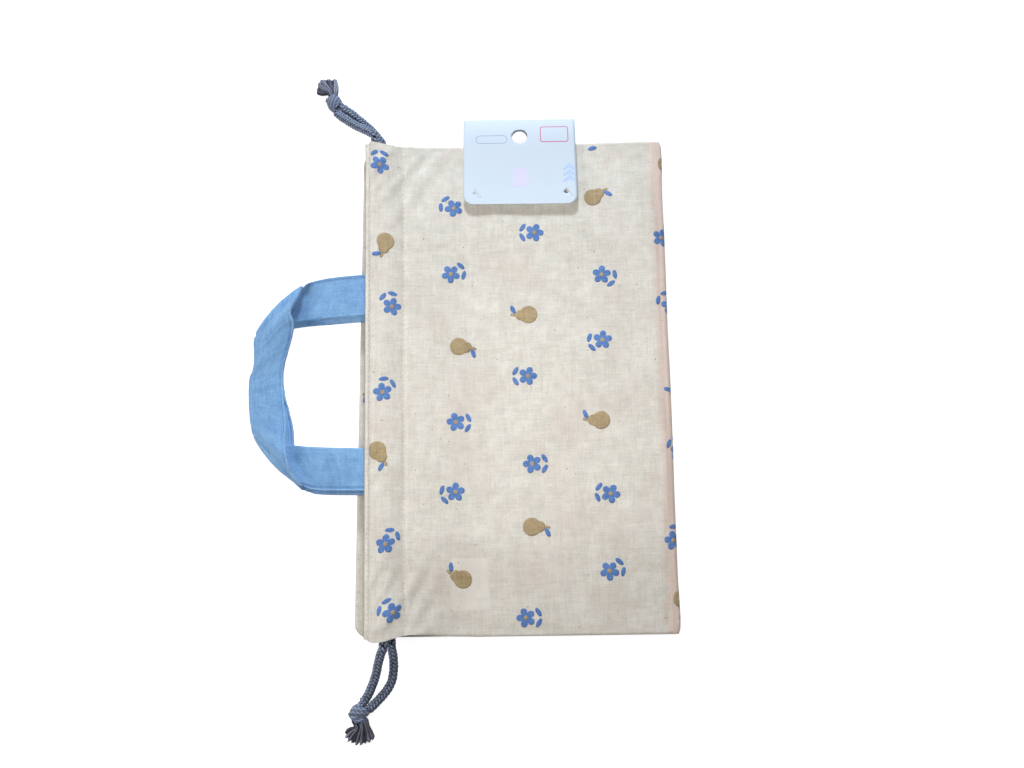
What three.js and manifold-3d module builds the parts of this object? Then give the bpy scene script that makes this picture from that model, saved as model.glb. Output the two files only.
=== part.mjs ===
// A cotton drawstring pouch with two carrying handles, folded in half and pinned in a hang card.
// It lies on its lower half with the mouth towards -X and the half-way fold towards +X.
// Millimetres, +Z up. The origin is the middle of the flat face that the pouch lies on.
// Side a is the +Y side and side b the -Y side, each named after the cord that leaves it.

import * as THREE from "three";
import { mergeVertices } from "three/addons/utils/BufferGeometryUtils.js";
import Module from "manifold-3d";

const wasm = await Module();
wasm.setup();

// Driving dimensions, in millimetres

const GAP = 0.3; // clearance between two pieces that touch
const RUNNING_GAP = 0.5; // clearance round a strap in the mouth

const cloth = { thickness: 0.6 };

const bag = {
  width: 300,
  mouthX: -92,
  foldX: 91.4,
  foldHeight: 12, // the soft fold, from the table to the front panel's outer face
  insideGap: 4.6, // between the front and back panels of the upper half
  baseOverhang: 5.8, // how far the base reaches out under the mouth, in the middle
  baseSkew: 0.0155, // the base isn't quite parallel to the mouth: X per unit of Y
  baseCornerRadius: 8,
};

const casing = {
  topStitch: 2.6, // mouth edge to the upper stitch line of the cord tunnel
  hemStitch: 23.6, // mouth edge to the lower stitch line
  hemAllowance: 2.4, // turned-in cloth past the lower stitch line
  hemClearance: 0.5, // the cloth starts to slope down this far past the turned-in cloth
  shoulder: 0.4, // how much the cloth stands off the cords
  endOverhang: 3, // the tunnel's ends stand out past the side seams
  facingSetback: 9.5, // the turned-in cloth stops short of the tunnel's ends
  squareness: 3.5, // exponent of the tunnel's rounded profile
};

const neck = {
  length: 40, // cloth slopes down from the tunnel to the flat body over this length
  seamLead: 12, // the side seams start this far below the tunnel
};

const sideSeam = {
  allowance: 6.2,
  thickness: 0.9,
  inset: 0.4, // seam allowance to the side edge
  middleHeight: 6.35, // height of the upper half's side edges above the table
  taper: 60, // the upper half thins towards its side edges over this width
};

const baseSeam = { allowance: 6, inset: 1.5 };

const cord = { diameter: 5.2, sides: 10, tailSteps: 12, bightSteps: 10 };

const cordPlaces = {
  frontA: -85.9,
  backA: -83.4,
  frontB: -80.4,
  backB: -77.6,
};

const tunnelCord = {
  pastEnd: 0.1, // a cord's straight run ends this far out of the tunnel
  bightInset: 6.8, // the turn at a cord's closed end starts this far in from the side edge
  lead: 0.8, // a strand starts and ends with a straight piece of this length
};

const strap = { width: 25, thickness: 1.6, sewnLength: 22 };

const handle = {
  centreY: 1.6,
  span: 131.4, // outer edge to outer edge of the two legs
  hingeOut: 1.6, // the hinge line stands this far out of the mouth
  straight: 29.4, // leg from the hinge line to where it starts to turn
  cornerNear: 40.5, // mouth edge to the near end of the folded corner
  cornerNearInset: 3.3, // the near end of the corner lies this far inside the leg's outer edge
  cornerFar: 70.4, // mouth edge to the far end of the folded corner
  cornerFarHalf: 29.5, // half the length of the band's outer edge between the corners
  reach: 74.2, // mouth edge to the band's outer edge
  bandWidth: 22,
  droop: 46, // the legs come down to the table over this length
  layerGap: 0.35, // between the layers of strap that lie on each other
};

const backHandle = { shiftY: -2.2, extraBand: 3, extraReach: 0.4 };

const card = {
  thickness: 0.35,
  centreX: 2.6,
  width: 70.2,
  flapEnd: 39, // side edge of the pouch to the free end of each flap
  overhang: 18.1, // side edge of the pouch to the card's crease
  turn: -1.6, // degrees in plan: the card hangs a little askew
  cornerRadius: 5.5,
  holeRadius: 4.6,
  holeInset: 12.9, // crease to the middle of the hanging hole
  standOff: 1.2, // the front flap stands off the cloth by this much more than the gap
  creaseRadius: 0.6,
  creaseRise: 1, // half the height of the crease's round edge
  creaseLead: 6, // the flaps draw together over this length before the crease
  liftMargin: 6, // the cloth under the back flap starts to rise this far from the flap's edges
  liftRamp: 20, // and rises over this length along X
  liftRampY: 14, // and over this length along Y
};

const pin = {
  wireRadius: 0.4,
  barRadius: 0.5,
  barLength: 9,
  barAngle: -50, // degrees in plan
  inset: 30.4, // side edge of the pouch to the pins
  leftFromEdge: 7.4, // card's side edges to the pins
  rightFromEdge: 6.2,
};

const label = { width: 23, length: 30, thickness: 0.4, nearX: -42, sideInset: 15.5 };

const knot = { diameter: 12, length: 11.5, fullness: 0.8 };

const tassel = { length: 12.4, rootWidth: 7.6, endWidth: 15.5, thickness: 4.6 };

// Cord tails: the middle line of each strand between the tunnel and the knot,
// with the second number counted outwards from the tunnel's end

const tailRoutes = {
  aFront: [
    [-88.8, 4.2, 17.2],
    [-93.4, 7.4, 14.8],
    [-99, 11.2, 12],
    [-104.6, 15.6, 9.2],
    [-109.4, 19.8, 7],
  ],
  aBack: [
    [-86.1, 6, 6.9],
    [-90.1, 11.3, 6.7],
    [-94.7, 15.8, 6.5],
    [-99, 19.5, 6.4],
    [-103.6, 23.3, 6.2],
  ],
  bFront: [
    [-82, 5, 17.3],
    [-83.8, 10.4, 15.2],
    [-85.9, 18, 12.3],
    [-88.8, 25, 9.6],
    [-91.4, 29.9, 7.6],
  ],
  bBack: [
    [-76.9, 5, 6.9],
    [-76.2, 10.5, 6.8],
    [-76.3, 16, 6.6],
    [-77.4, 21.9, 6.5],
    [-80, 26.6, 6.3],
    [-84.2, 31.4, 6.1],
  ],
};

// Each knot's middle, counted in the same way, then in plan the way its two strands come in
// and the way its frayed ends go out
const knotPlaces = {
  a: { centre: [-114.3, 29.7, 6], strands: [-0.62, 0.785], ends: [-0.44, 0.9] },
  b: { centre: [-97.1, 39.6, 6], strands: [-0.75, -0.66], ends: [0.02, -1] },
};

// Heights and places that follow from the driving dimensions

const half = cloth.thickness / 2;
const pairSpacing = sideSeam.thickness + cloth.thickness + 2 * GAP;
const lowerFrontZ = half;
const lowerBackZ = lowerFrontZ + pairSpacing;
const archRise = cord.diameter + GAP + casing.shoulder;

const backCrownZ = lowerBackZ + cloth.thickness + GAP;
const backStitchZ = backCrownZ + archRise;
const backFacingZ = backStitchZ + cloth.thickness + GAP;
const mouthGap = 2 * strap.thickness + 3 * RUNNING_GAP;
const frontFacingZ = backFacingZ + cloth.thickness + mouthGap;
const frontStitchZ = frontFacingZ + cloth.thickness + GAP;
const backStrapZ = backFacingZ + half + RUNNING_GAP + strap.thickness / 2;
const frontStrapZ = backStrapZ + strap.thickness + RUNNING_GAP;

const flatFrontZ = bag.foldHeight - half;
const flatBackZ = flatFrontZ - bag.insideGap - cloth.thickness;

const topStitchX = bag.mouthX + casing.topStitch;
const hemX = bag.mouthX + casing.hemStitch;
const neckStartX = hemX + casing.hemAllowance + casing.hemClearance;
const sideY = bag.width / 2;
const tunnelEndY = sideY + casing.endOverhang;
const runEndY = tunnelEndY + tunnelCord.pastEnd;
const bightStartY = sideY - tunnelCord.bightInset;
const hingeX = bag.mouthX - handle.hingeOut;
const cardTurn = (card.turn * Math.PI) / 180;

// The lower half is lifted where the card's back flap and the pins' ends lie under it.
const lift = {
  height: 2 * pin.barRadius + card.thickness + 2 * GAP,
  fromX: card.centreX - card.width / 2 - card.liftMargin,
  toX: card.centreX + card.width / 2 + card.liftMargin,
  ramp: card.liftRamp,
  fromY: sideY - card.flapEnd - card.liftMargin - card.liftRampY,
  toY: sideY - card.flapEnd - card.liftMargin,
};

const smooth = (t) => {
  const c = Math.min(1, Math.max(0, t));
  return c * c * (3 - 2 * c);
};
const mix = (a, b, t) => a + (b - a) * t;

// Small helpers that turn points into closed solids

function geometryOf(positions, triangles) {
  const geometry = new THREE.BufferGeometry();
  geometry.setAttribute("position", new THREE.Float32BufferAttribute(positions, 3));
  geometry.setIndex(triangles);
  return geometry;
}

function signedVolume(positions, triangles) {
  let sum = 0;
  const [a, b, c] = [new THREE.Vector3(), new THREE.Vector3(), new THREE.Vector3()];
  for (let i = 0; i < triangles.length; i += 3) {
    a.fromArray(positions, triangles[i] * 3);
    b.fromArray(positions, triangles[i + 1] * 3);
    c.fromArray(positions, triangles[i + 2] * 3);
    sum += a.dot(b.cross(c));
  }
  return sum;
}

// A thick sheet. Each column is a list of { p, n }: a point of the middle surface and its normal.
function sheet(columns, thickness) {
  const rows = columns[0].length;
  const positions = [];
  for (const side of [1, -1]) {
    for (const column of columns) {
      for (const { p, n } of column) {
        const q = p.clone().addScaledVector(n, (side * thickness) / 2);
        positions.push(q.x, q.y, q.z);
      }
    }
  }
  const inner = columns.length * rows;
  const at = (i, j) => i * rows + j;
  const triangles = [];
  const quad = (a, b, c, d) => triangles.push(a, b, c, a, c, d);
  const last = columns.length - 1;
  for (let i = 0; i < last; i += 1) {
    for (let j = 0; j < rows - 1; j += 1) {
      quad(at(i, j), at(i + 1, j), at(i + 1, j + 1), at(i, j + 1));
      quad(inner + at(i, j + 1), inner + at(i + 1, j + 1), inner + at(i + 1, j), inner + at(i, j));
    }
    quad(at(i, 0), inner + at(i, 0), inner + at(i + 1, 0), at(i + 1, 0));
    quad(at(i + 1, rows - 1), inner + at(i + 1, rows - 1), inner + at(i, rows - 1), at(i, rows - 1));
  }
  for (let j = 0; j < rows - 1; j += 1) {
    quad(at(0, j), at(0, j + 1), inner + at(0, j + 1), inner + at(0, j));
    quad(at(last, j + 1), at(last, j), inner + at(last, j), inner + at(last, j + 1));
  }
  if (signedVolume(positions, triangles) < 0) triangles.reverse();
  return geometryOf(positions, triangles);
}

// A closed solid through rings of equal size, its ends closed by flat faces.
function loft(rings) {
  const size = rings[0].length;
  const positions = rings.flat().flatMap((p) => [p.x, p.y, p.z]);
  const triangles = [];
  for (let i = 0; i < rings.length - 1; i += 1) {
    for (let j = 0; j < size; j += 1) {
      const a = i * size + j;
      const b = i * size + ((j + 1) % size);
      triangles.push(a, b, b + size, a, b + size, a + size);
    }
  }
  const end = (rings.length - 1) * size;
  for (let j = 1; j < size - 1; j += 1) {
    triangles.push(0, j + 1, j);
    triangles.push(end, end + j, end + j + 1);
  }
  if (signedVolume(positions, triangles) < 0) triangles.reverse();
  return geometryOf(positions, triangles);
}

function manifoldOf(geometry) {
  const bare = geometry.clone();
  bare.deleteAttribute("normal");
  bare.deleteAttribute("uv");
  const merged = mergeVertices(bare, 1e-4);
  return new wasm.Manifold(
    new wasm.Mesh({
      numProp: 3,
      vertProperties: merged.attributes.position.array,
      triVerts: new Uint32Array(merged.index.array),
    }),
  );
}

function geometryFrom(manifold) {
  const mesh = manifold.getMesh();
  return geometryOf(Array.from(mesh.vertProperties), Array.from(mesh.triVerts));
}

function cut(geometry, cutters) {
  let solid = manifoldOf(geometry);
  for (const cutter of cutters) solid = solid.subtract(manifoldOf(cutter));
  return geometryFrom(solid);
}

function cylinder(radius, from, to, sides) {
  const direction = to.clone().sub(from);
  const geometry = new THREE.CylinderGeometry(radius, radius, direction.length(), sides);
  const turn = new THREE.Quaternion().setFromUnitVectors(
    new THREE.Vector3(0, 1, 0),
    direction.clone().normalize(),
  );
  geometry.applyQuaternion(turn);
  const middle = from.clone().add(to).multiplyScalar(0.5);
  geometry.translate(middle.x, middle.y, middle.z);
  return geometry;
}

function tube(points, diameter, sides, steps) {
  const section = new THREE.Shape();
  for (let i = 0; i < sides; i += 1) {
    const angle = (2 * Math.PI * i) / sides;
    const [u, v] = [(diameter / 2) * Math.cos(angle), (diameter / 2) * Math.sin(angle)];
    if (i === 0) section.moveTo(u, v);
    else section.lineTo(u, v);
  }
  const curve = new THREE.CatmullRomCurve3(points.map((p) => new THREE.Vector3(...p)));
  return new THREE.ExtrudeGeometry(section, { steps, extrudePath: curve, bevelEnabled: false });
}

function block(x0, x1, y0, y1, z0, z1) {
  const geometry = new THREE.BoxGeometry(x1 - x0, y1 - y0, z1 - z0);
  geometry.translate((x0 + x1) / 2, (y0 + y1) / 2, (z0 + z1) / 2);
  return geometry;
}

// The pouch's shape: heights of its cloth above the table

const sideShare = (y) => smooth((Math.abs(y) - (sideY - sideSeam.taper)) / sideSeam.taper);
const neckShare = (x) => smooth((x - neckStartX) / neck.length);

function liftAt(x, y) {
  const along = Math.min((x - lift.fromX + lift.ramp) / lift.ramp, (lift.toX + lift.ramp - x) / lift.ramp);
  return lift.height * smooth(along) * smooth((y - lift.fromY) / (lift.toY - lift.fromY));
}

// Height of the upper half's side seam.
function seamHeight(x) {
  return mix((frontStitchZ + backStitchZ) / 2, sideSeam.middleHeight, neckShare(x));
}

// Height of a panel's middle surface in the upper half, below the cord tunnel.
function upperHeight(x, y, isFront) {
  const middle = isFront
    ? mix(frontStitchZ, flatFrontZ, neckShare(x))
    : mix(backStitchZ, flatBackZ, neckShare(x));
  const side = seamHeight(x) + ((isFront ? 1 : -1) * pairSpacing) / 2;
  return mix(middle, side, sideShare(y) * smooth((x - neckStartX) / neck.seamLead));
}

// The base edge's X at a given Y, with its rounded corners.
function baseX(y) {
  const straight = bag.mouthX - bag.baseOverhang + bag.baseSkew * y;
  const intoCorner = Math.max(0, Math.abs(y) - (sideY - bag.baseCornerRadius));
  const r = bag.baseCornerRadius;
  return straight + r - Math.sqrt(Math.max(0, r * r - intoCorner * intoCorner));
}

// The panels' columns stand closer together where the upper half thins and the base corners round off.
function columnYs() {
  const taper = [1, 0.85, 0.68, 0.48, 0.25].map((share) => share * sideSeam.taper);
  const corner = [1, 0.6, 0.2, 0].map((share) => share * bag.baseCornerRadius);
  const insets = [...taper, ...corner];
  return [...insets.map((inset) => inset - sideY).reverse(), ...insets.map((inset) => sideY - inset)];
}

// The cord tunnel's arch over the cords, from the mouth edge to the lower stitch line.
function archPath(isFront) {
  const stitchZ = isFront ? frontStitchZ : backStitchZ;
  const out = isFront ? 1 : -1;
  const points = [[bag.mouthX, stitchZ]];
  const width = (hemX - topStitchX) / 2;
  const middle = (hemX + topStitchX) / 2;
  for (const degrees of [0, 14, 32, 52, 72, 90, 108, 128, 148, 166, 180]) {
    const angle = (degrees * Math.PI) / 180;
    const power = 2 / casing.squareness;
    const across = Math.sign(Math.cos(angle)) * Math.abs(Math.cos(angle)) ** power;
    const up = Math.abs(Math.sin(angle)) ** power;
    points.push([middle - width * across, stitchZ + out * archRise * up]);
  }
  return points;
}

// The tunnel's cloth is a little wider than the rest, so that its ends stand out.
function tunnelWidening(x) {
  const share = 1 - smooth((x - (hemX - 2)) / 8);
  return 1 + (casing.endOverhang / sideY) * share;
}

// The X stations of the lower half, from the fold back to the base.
function lowerStations(foldCentreX, y) {
  const ramps = [lift.toX + lift.ramp, lift.toX + lift.ramp / 2, lift.toX];
  const under = [card.centreX, lift.fromX, lift.fromX - lift.ramp / 2, lift.fromX - lift.ramp];
  return [foldCentreX, ...ramps, ...under, bag.mouthX + 12, baseX(y)];
}

// One panel's middle line at a given Y: tunnel, neck, upper half, fold and lower half.
function panelPath(y, isFront) {
  const upperZ = (x) => upperHeight(x, y, isFront);
  const lowerZ = isFront ? lowerFrontZ : lowerBackZ;
  const frontRadius = (upperHeight(bag.foldX, y, true) - lowerFrontZ) / 2;
  const radius = (upperZ(bag.foldX) - lowerZ) / 2;
  const foldCentreX = bag.foldX - half - frontRadius;
  const path = archPath(isFront);
  for (const share of [0, 0.12, 0.24, 0.36, 0.5, 0.64, 0.8, 1]) {
    const x = neckStartX + neck.length * share;
    path.push([x, upperZ(x)]);
  }
  for (const x of [card.centreX, lift.toX]) path.push([x, upperZ(x)]);
  for (let i = 0; i <= 8; i += 1) {
    const angle = Math.PI * (0.5 - i / 8);
    path.push([foldCentreX + radius * Math.cos(angle), lowerZ + radius + radius * Math.sin(angle)]);
  }
  for (const x of lowerStations(foldCentreX, y).slice(1)) path.push([x, lowerZ + liftAt(x, y)]);
  return path;
}

// Turns a line in the XZ plane into sheet points, their normals a quarter turn left of the line.
function column(path, yAt) {
  return path.map(([x, z], i) => {
    const before = path[Math.max(0, i - 1)];
    const after = path[Math.min(path.length - 1, i + 1)];
    const along = new THREE.Vector2(after[0] - before[0], after[1] - before[1]).normalize();
    return { p: new THREE.Vector3(x, yAt(x), z), n: new THREE.Vector3(-along.y, 0, along.x) };
  });
}

function panel(isFront) {
  const columns = columnYs().map((y) => column(panelPath(y, isFront), (x) => y * tunnelWidening(x)));
  return cut(sheet(columns, cloth.thickness), pinHoles());
}

// The cloth turned in at the mouth, which closes the tunnel on the inside.
function facing(z) {
  const endY = sideY + casing.endOverhang - casing.facingSetback;
  return block(bag.mouthX + GAP, hemX + casing.hemAllowance, -endY, endY, z - half, z + half);
}

// The side seam's allowance, folded inside between the two panels, all the way round the fold.
function sideSeamStrip(side) {
  const spine = (lowerFrontZ + lowerBackZ) / 2;
  const radius = (sideSeam.middleHeight - spine) / 2;
  const frontRadius = (sideSeam.middleHeight + pairSpacing / 2 - lowerFrontZ) / 2;
  const foldCentreX = bag.foldX - half - frontRadius;
  const columnAt = (inset) => {
    const y = side * (sideY - inset);
    const path = [];
    for (const share of [0.36, 0.5, 0.64, 0.8, 1]) {
      const x = neckStartX + neck.length * share;
      path.push([x, seamHeight(x)]);
    }
    for (let i = 0; i <= 8; i += 1) {
      const angle = Math.PI * (0.5 - i / 8);
      path.push([foldCentreX + radius * Math.cos(angle), spine + radius + radius * Math.sin(angle)]);
    }
    const stations = lowerStations(foldCentreX, y).slice(1, -1);
    for (const x of stations) path.push([x, spine + liftAt(x, y)]);
    path.push([baseX(0) + bag.baseCornerRadius + 2, spine]);
    return column(path, () => y);
  };
  const columns = [sideSeam.inset + sideSeam.allowance, sideSeam.inset].map(columnAt);
  return sheet(columns, sideSeam.thickness);
}

// The base seam's allowance, between the two panels at the closed end.
function baseSeamStrip() {
  const spine = (lowerFrontZ + lowerBackZ) / 2;
  const endY = sideY - sideSeam.inset - sideSeam.allowance - GAP;
  const columns = [-endY, endY].map((y) => {
    const x = bag.mouthX - bag.baseOverhang + bag.baseSkew * y + baseSeam.inset;
    return column([[x + baseSeam.allowance, spine], [x, spine]], () => y);
  });
  return sheet(columns, sideSeam.thickness);
}

// The name label, sewn inside on the back panel.
function nameLabel() {
  const offset = half + GAP + label.thickness / 2;
  const columns = [0, 0.25, 0.5, 0.75, 1].map((share) => {
    const y = label.sideInset - sideY + label.length * share;
    const path = [0, 0.5, 1].map((t) => {
      const x = label.nearX + label.width * t;
      return [x, upperHeight(x, y, false) + offset];
    });
    return column(path, () => y);
  });
  return sheet(columns, label.thickness);
}

// Cords

function cordHeight(isFront) {
  const facingZ = isFront ? frontFacingZ : backFacingZ;
  return facingZ + (isFront ? 1 : -1) * (half + GAP + cord.diameter / 2);
}

// A cord's straight run through one tunnel. It leaves on its own side and turns back on the other.
function cordRun(x, isFront, side) {
  const z = cordHeight(isFront);
  const from = new THREE.Vector3(x, -side * (bightStartY - GAP), z);
  const to = new THREE.Vector3(x, side * runEndY, z);
  return cylinder(cord.diameter / 2, from, to, cord.sides);
}

// The turn from the front tunnel to the back one, tucked under the tunnel's far end.
function cordBight(frontX, backX, side) {
  const [top, bottom] = [cordHeight(true), cordHeight(false)];
  const radius = (top - bottom) / 2;
  const startY = -side * bightStartY;
  const turnY = startY - side * tunnelCord.lead;
  const turn = [];
  for (let i = 0; i <= 8; i += 1) {
    const angle = Math.PI * (0.5 - i / 8);
    turn.push([
      mix(frontX, backX, smooth(i / 8)),
      turnY - side * radius * Math.cos(angle),
      bottom + radius + radius * Math.sin(angle),
    ]);
  }
  const points = [[frontX, startY, top], ...turn, [backX, startY, bottom]];
  return tube(points, cord.diameter, cord.sides, cord.bightSteps);
}

// Turns a point whose second number is counted outwards from the tunnel's end into a place.
const outwards = (side) => ([x, out, z]) => [x, side * (tunnelEndY + out), z];

// A strand from the tunnel's end to the knot. The two strands enter the knot side by side.
function cordTail(letter, side, x, isFront) {
  const startY = side * (runEndY + GAP);
  const z = cordHeight(isFront);
  const centre = outwards(side)(knotPlaces[letter].centre);
  const [ux, uy] = knotPlaces[letter].strands;
  const across = ((isFront ? -side : side) * (cord.diameter + GAP)) / 2;
  const before = (distance) => [
    centre[0] - ux * distance + uy * across,
    centre[1] - uy * distance - ux * across,
    centre[2],
  ];
  const nearest = knot.length / 2 + GAP;
  const points = [
    [x, startY, z],
    [x, startY + side * tunnelCord.lead, z],
    ...tailRoutes[letter + (isFront ? "Front" : "Back")].map(outwards(side)),
    before(nearest + tunnelCord.lead),
    before(nearest),
  ];
  return tube(points, cord.diameter, cord.sides, cord.tailSteps);
}

// The overhand knot that ties a cord's two strands, with its axis along the strands.
function cordKnot({ centre, strands }) {
  const profile = [new THREE.Vector2(0, -knot.length / 2)];
  for (let i = 1; i < 10; i += 1) {
    const angle = Math.PI * (i / 10 - 0.5);
    const r = (knot.diameter / 2) * Math.cos(angle) ** knot.fullness;
    profile.push(new THREE.Vector2(r, (knot.length / 2) * Math.sin(angle)));
  }
  profile.push(new THREE.Vector2(0, knot.length / 2));
  const geometry = new THREE.LatheGeometry(profile, 16);
  geometry.rotateZ(Math.atan2(-strands[0], strands[1]));
  geometry.translate(...centre);
  return geometry;
}

// The frayed ends past the knot, a flat fan that lies down on the table.
function cordTassel({ centre, ends }) {
  const [ux, uy] = ends;
  const rings = [0, 0.3, 0.65, 1].map((t) => {
    const distance = knot.diameter / 2 + GAP + tassel.length * t;
    const halfWidth = mix(tassel.rootWidth, tassel.endWidth, t) / 2;
    const halfHeight = mix(tassel.rootWidth / 2, tassel.thickness / 2, Math.sqrt(t));
    const z = mix(centre[2], halfHeight, Math.sqrt(t));
    return Array.from({ length: 12 }, (_, k) => {
      const angle = (2 * Math.PI * k) / 12;
      const across = halfWidth * Math.cos(angle);
      return new THREE.Vector3(
        centre[0] + ux * distance - uy * across,
        centre[1] + uy * distance + ux * across,
        z + halfHeight * Math.sin(angle),
      );
    });
  });
  return loft(rings);
}

// Handles

function handleSizes(isFront) {
  const extra = isFront ? { shiftY: 0, extraBand: 0, extraReach: 0 } : backHandle;
  return {
    centreY: handle.centreY + extra.shiftY,
    reach: handle.reach + extra.extraReach,
    bandWidth: handle.bandWidth + extra.extraBand,
    hingeZ: isFront ? frontStrapZ : backStrapZ,
    tableZ: strap.thickness / 2 + (isFront ? 2 * (strap.thickness + handle.layerGap) : 0),
  };
}

// The rounded end of the strap at the hinge line, so that it can turn close to the sewn end.
function strapNose(z, place) {
  return [75, 45, 0].map((degrees) => {
    const angle = (degrees * Math.PI) / 180;
    return place(hingeX + (strap.thickness / 2) * Math.sin(angle), z, Math.cos(angle));
  });
}

// A handle's loop outside the mouth: leg, folded corner, band, folded corner, leg.
function handleLoop(isFront) {
  const sizes = handleSizes(isFront);
  const layer = strap.thickness + GAP;
  const cornerNear = [bag.mouthX - handle.cornerNear, handle.span / 2 - handle.cornerNearInset];
  const cornerFar = [bag.mouthX - handle.cornerFar, handle.cornerFarHalf];
  const outer = handle.span / 2;
  const inner = outer - strap.width;
  const straightEnd = hingeX - handle.straight;
  const drop = (x) => smooth(1 - (hingeX - x) / handle.droop);
  const legZ = (x) => mix(sizes.tableZ, sizes.hingeZ, drop(x));
  const down = new THREE.Vector3(0, 0, -1);
  const station = (a, b, lifted, n, thin = 1) => ({
    a: new THREE.Vector3(a[0], a[1], legZ(a[0]) + lifted),
    b: new THREE.Vector3(b[0], b[1], legZ(b[0]) + lifted),
    n,
    thin,
  });

  const leg = strapNose(sizes.hingeZ, (x, z, thin) => station([x, outer], [x, inner], 0, down, thin));
  for (const share of [0.2, 0.4, 0.6, 0.8, 1]) {
    const x = mix(hingeX, straightEnd, share);
    leg.push(station([x, outer], [x, inner], 0, down));
  }
  for (const share of [0.3, 0.55, 0.8]) {
    const a = [mix(straightEnd, cornerNear[0], share), mix(outer, cornerNear[1], share ** 1.5)];
    const b = [mix(straightEnd, cornerFar[0], share), mix(inner, cornerFar[1], share)];
    leg.push(station(a, b, 0, down));
  }

  // The strap turns over along the corner's crease, from the leg's layer up to the band's.
  const crease = new THREE.Vector2(cornerFar[0] - cornerNear[0], cornerFar[1] - cornerNear[1]);
  const outward = new THREE.Vector2(crease.y, -crease.x).normalize();
  const turn = [-90, -45, 0, 45, 90].map((degrees) => {
    const angle = (degrees * Math.PI) / 180;
    const out = (layer / 2) * (Math.cos(angle) - 1);
    const [dx, dy] = [-outward.x * out, -outward.y * out];
    const n = new THREE.Vector3(
      -outward.x * Math.cos(angle),
      -outward.y * Math.cos(angle),
      Math.sin(angle),
    );
    const up = (layer / 2) * (1 + Math.sin(angle));
    return station([cornerNear[0] + dx, cornerNear[1] + dy], [cornerFar[0] + dx, cornerFar[1] + dy], up, n);
  });

  const up = new THREE.Vector3(0, 0, 1);
  const bandInnerX = bag.mouthX - sizes.reach + sizes.bandWidth;
  const band = [0.14, 0.28, 0.42, 0.56, 0.7, 0.85, 1].map((share) => {
    const bend = Math.sin((share * Math.PI) / 2);
    const a = [mix(cornerNear[0], bandInnerX, bend), cornerNear[1] * (1 - share)];
    const b = [mix(cornerFar[0], bag.mouthX - sizes.reach, bend), cornerFar[1] * (1 - share)];
    return station(a, b, layer, up);
  });

  const firstHalf = [...leg, ...turn, ...band];
  const mirrored = firstHalf
    .slice(0, -1)
    .reverse()
    .map(({ a, b, n, thin }) => ({
      a: new THREE.Vector3(a.x, -a.y, a.z),
      b: new THREE.Vector3(b.x, -b.y, b.z),
      n: new THREE.Vector3(n.x, -n.y, n.z),
      thin,
    }));
  const stations = [...firstHalf, ...mirrored];
  const edge = (key) =>
    stations.map((s) => ({ p: s[key], n: s.n.clone().multiplyScalar(s.thin) }));
  const geometry = sheet([edge("a"), edge("b")], strap.thickness);
  geometry.translate(0, sizes.centreY, 0);
  return geometry;
}

// A strap's end inside the mouth, sewn between the two facings.
function handleEnd(isFront, side) {
  const sizes = handleSizes(isFront);
  const x0 = hingeX + strap.thickness / 2 + GAP;
  const outer = side * (handle.span / 2);
  const inner = outer - side * strap.width;
  const [y0, y1] = [Math.min(outer, inner), Math.max(outer, inner)];
  const z = sizes.hingeZ;
  const t = strap.thickness / 2;
  return block(x0, x0 + strap.sewnLength, sizes.centreY + y0, sizes.centreY + y1, z - t, z + t);
}

// Hang card and its pins

// Height of the front flap's middle surface at a given distance in from the side edge.
function frontFlapZ(inward) {
  const clear = half + GAP + card.thickness / 2 + card.standOff;
  const edgeZ = upperHeight(card.centreX, sideY, true) + clear;
  const endZ = upperHeight(card.centreX, sideY - card.flapEnd, true) + clear;
  return mix(edgeZ, endZ, inward / card.flapEnd);
}

const backFlapZ = 2 * pin.barRadius + GAP + card.thickness / 2;

function hangCard() {
  const creaseY = sideY + card.overhang;
  const creaseZ = (frontFlapZ(-card.overhang) + backFlapZ) / 2;
  const path = [];
  for (const inward of [card.flapEnd, card.flapEnd / 2, 0]) {
    path.push([sideY - inward, frontFlapZ(inward)]);
  }
  path.push([creaseY - card.creaseLead, (frontFlapZ(0) + creaseZ + card.creaseRise) / 2]);
  path.push([creaseY - card.creaseRadius, creaseZ + card.creaseRise]);
  path.push([creaseY, creaseZ]);
  path.push([creaseY - card.creaseRadius, creaseZ - card.creaseRise]);
  path.push([creaseY - card.creaseLead, (backFlapZ + creaseZ) / 2]);
  path.push([sideY, backFlapZ]);
  path.push([sideY - card.flapEnd, backFlapZ]);
  const columns = [-1, 1].map((end) => {
    const x = card.centreX + (end * card.width) / 2;
    return path.map(([y, z], i) => {
      const before = path[Math.max(0, i - 1)];
      const after = path[Math.min(path.length - 1, i + 1)];
      const along = new THREE.Vector2(after[0] - before[0], after[1] - before[1]).normalize();
      return { p: new THREE.Vector3(x, y, z), n: new THREE.Vector3(0, -along.y, along.x) };
    });
  });
  const folded = manifoldOf(sheet(columns, card.thickness));
  const flaps = geometryFrom(folded.intersect(manifoldOf(cardOutline())));
  flaps.translate(-card.centreX, -sideY, 0);
  flaps.rotateZ(cardTurn);
  flaps.translate(card.centreX, sideY, 0);
  return cut(flaps, pinHoles());
}

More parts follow.
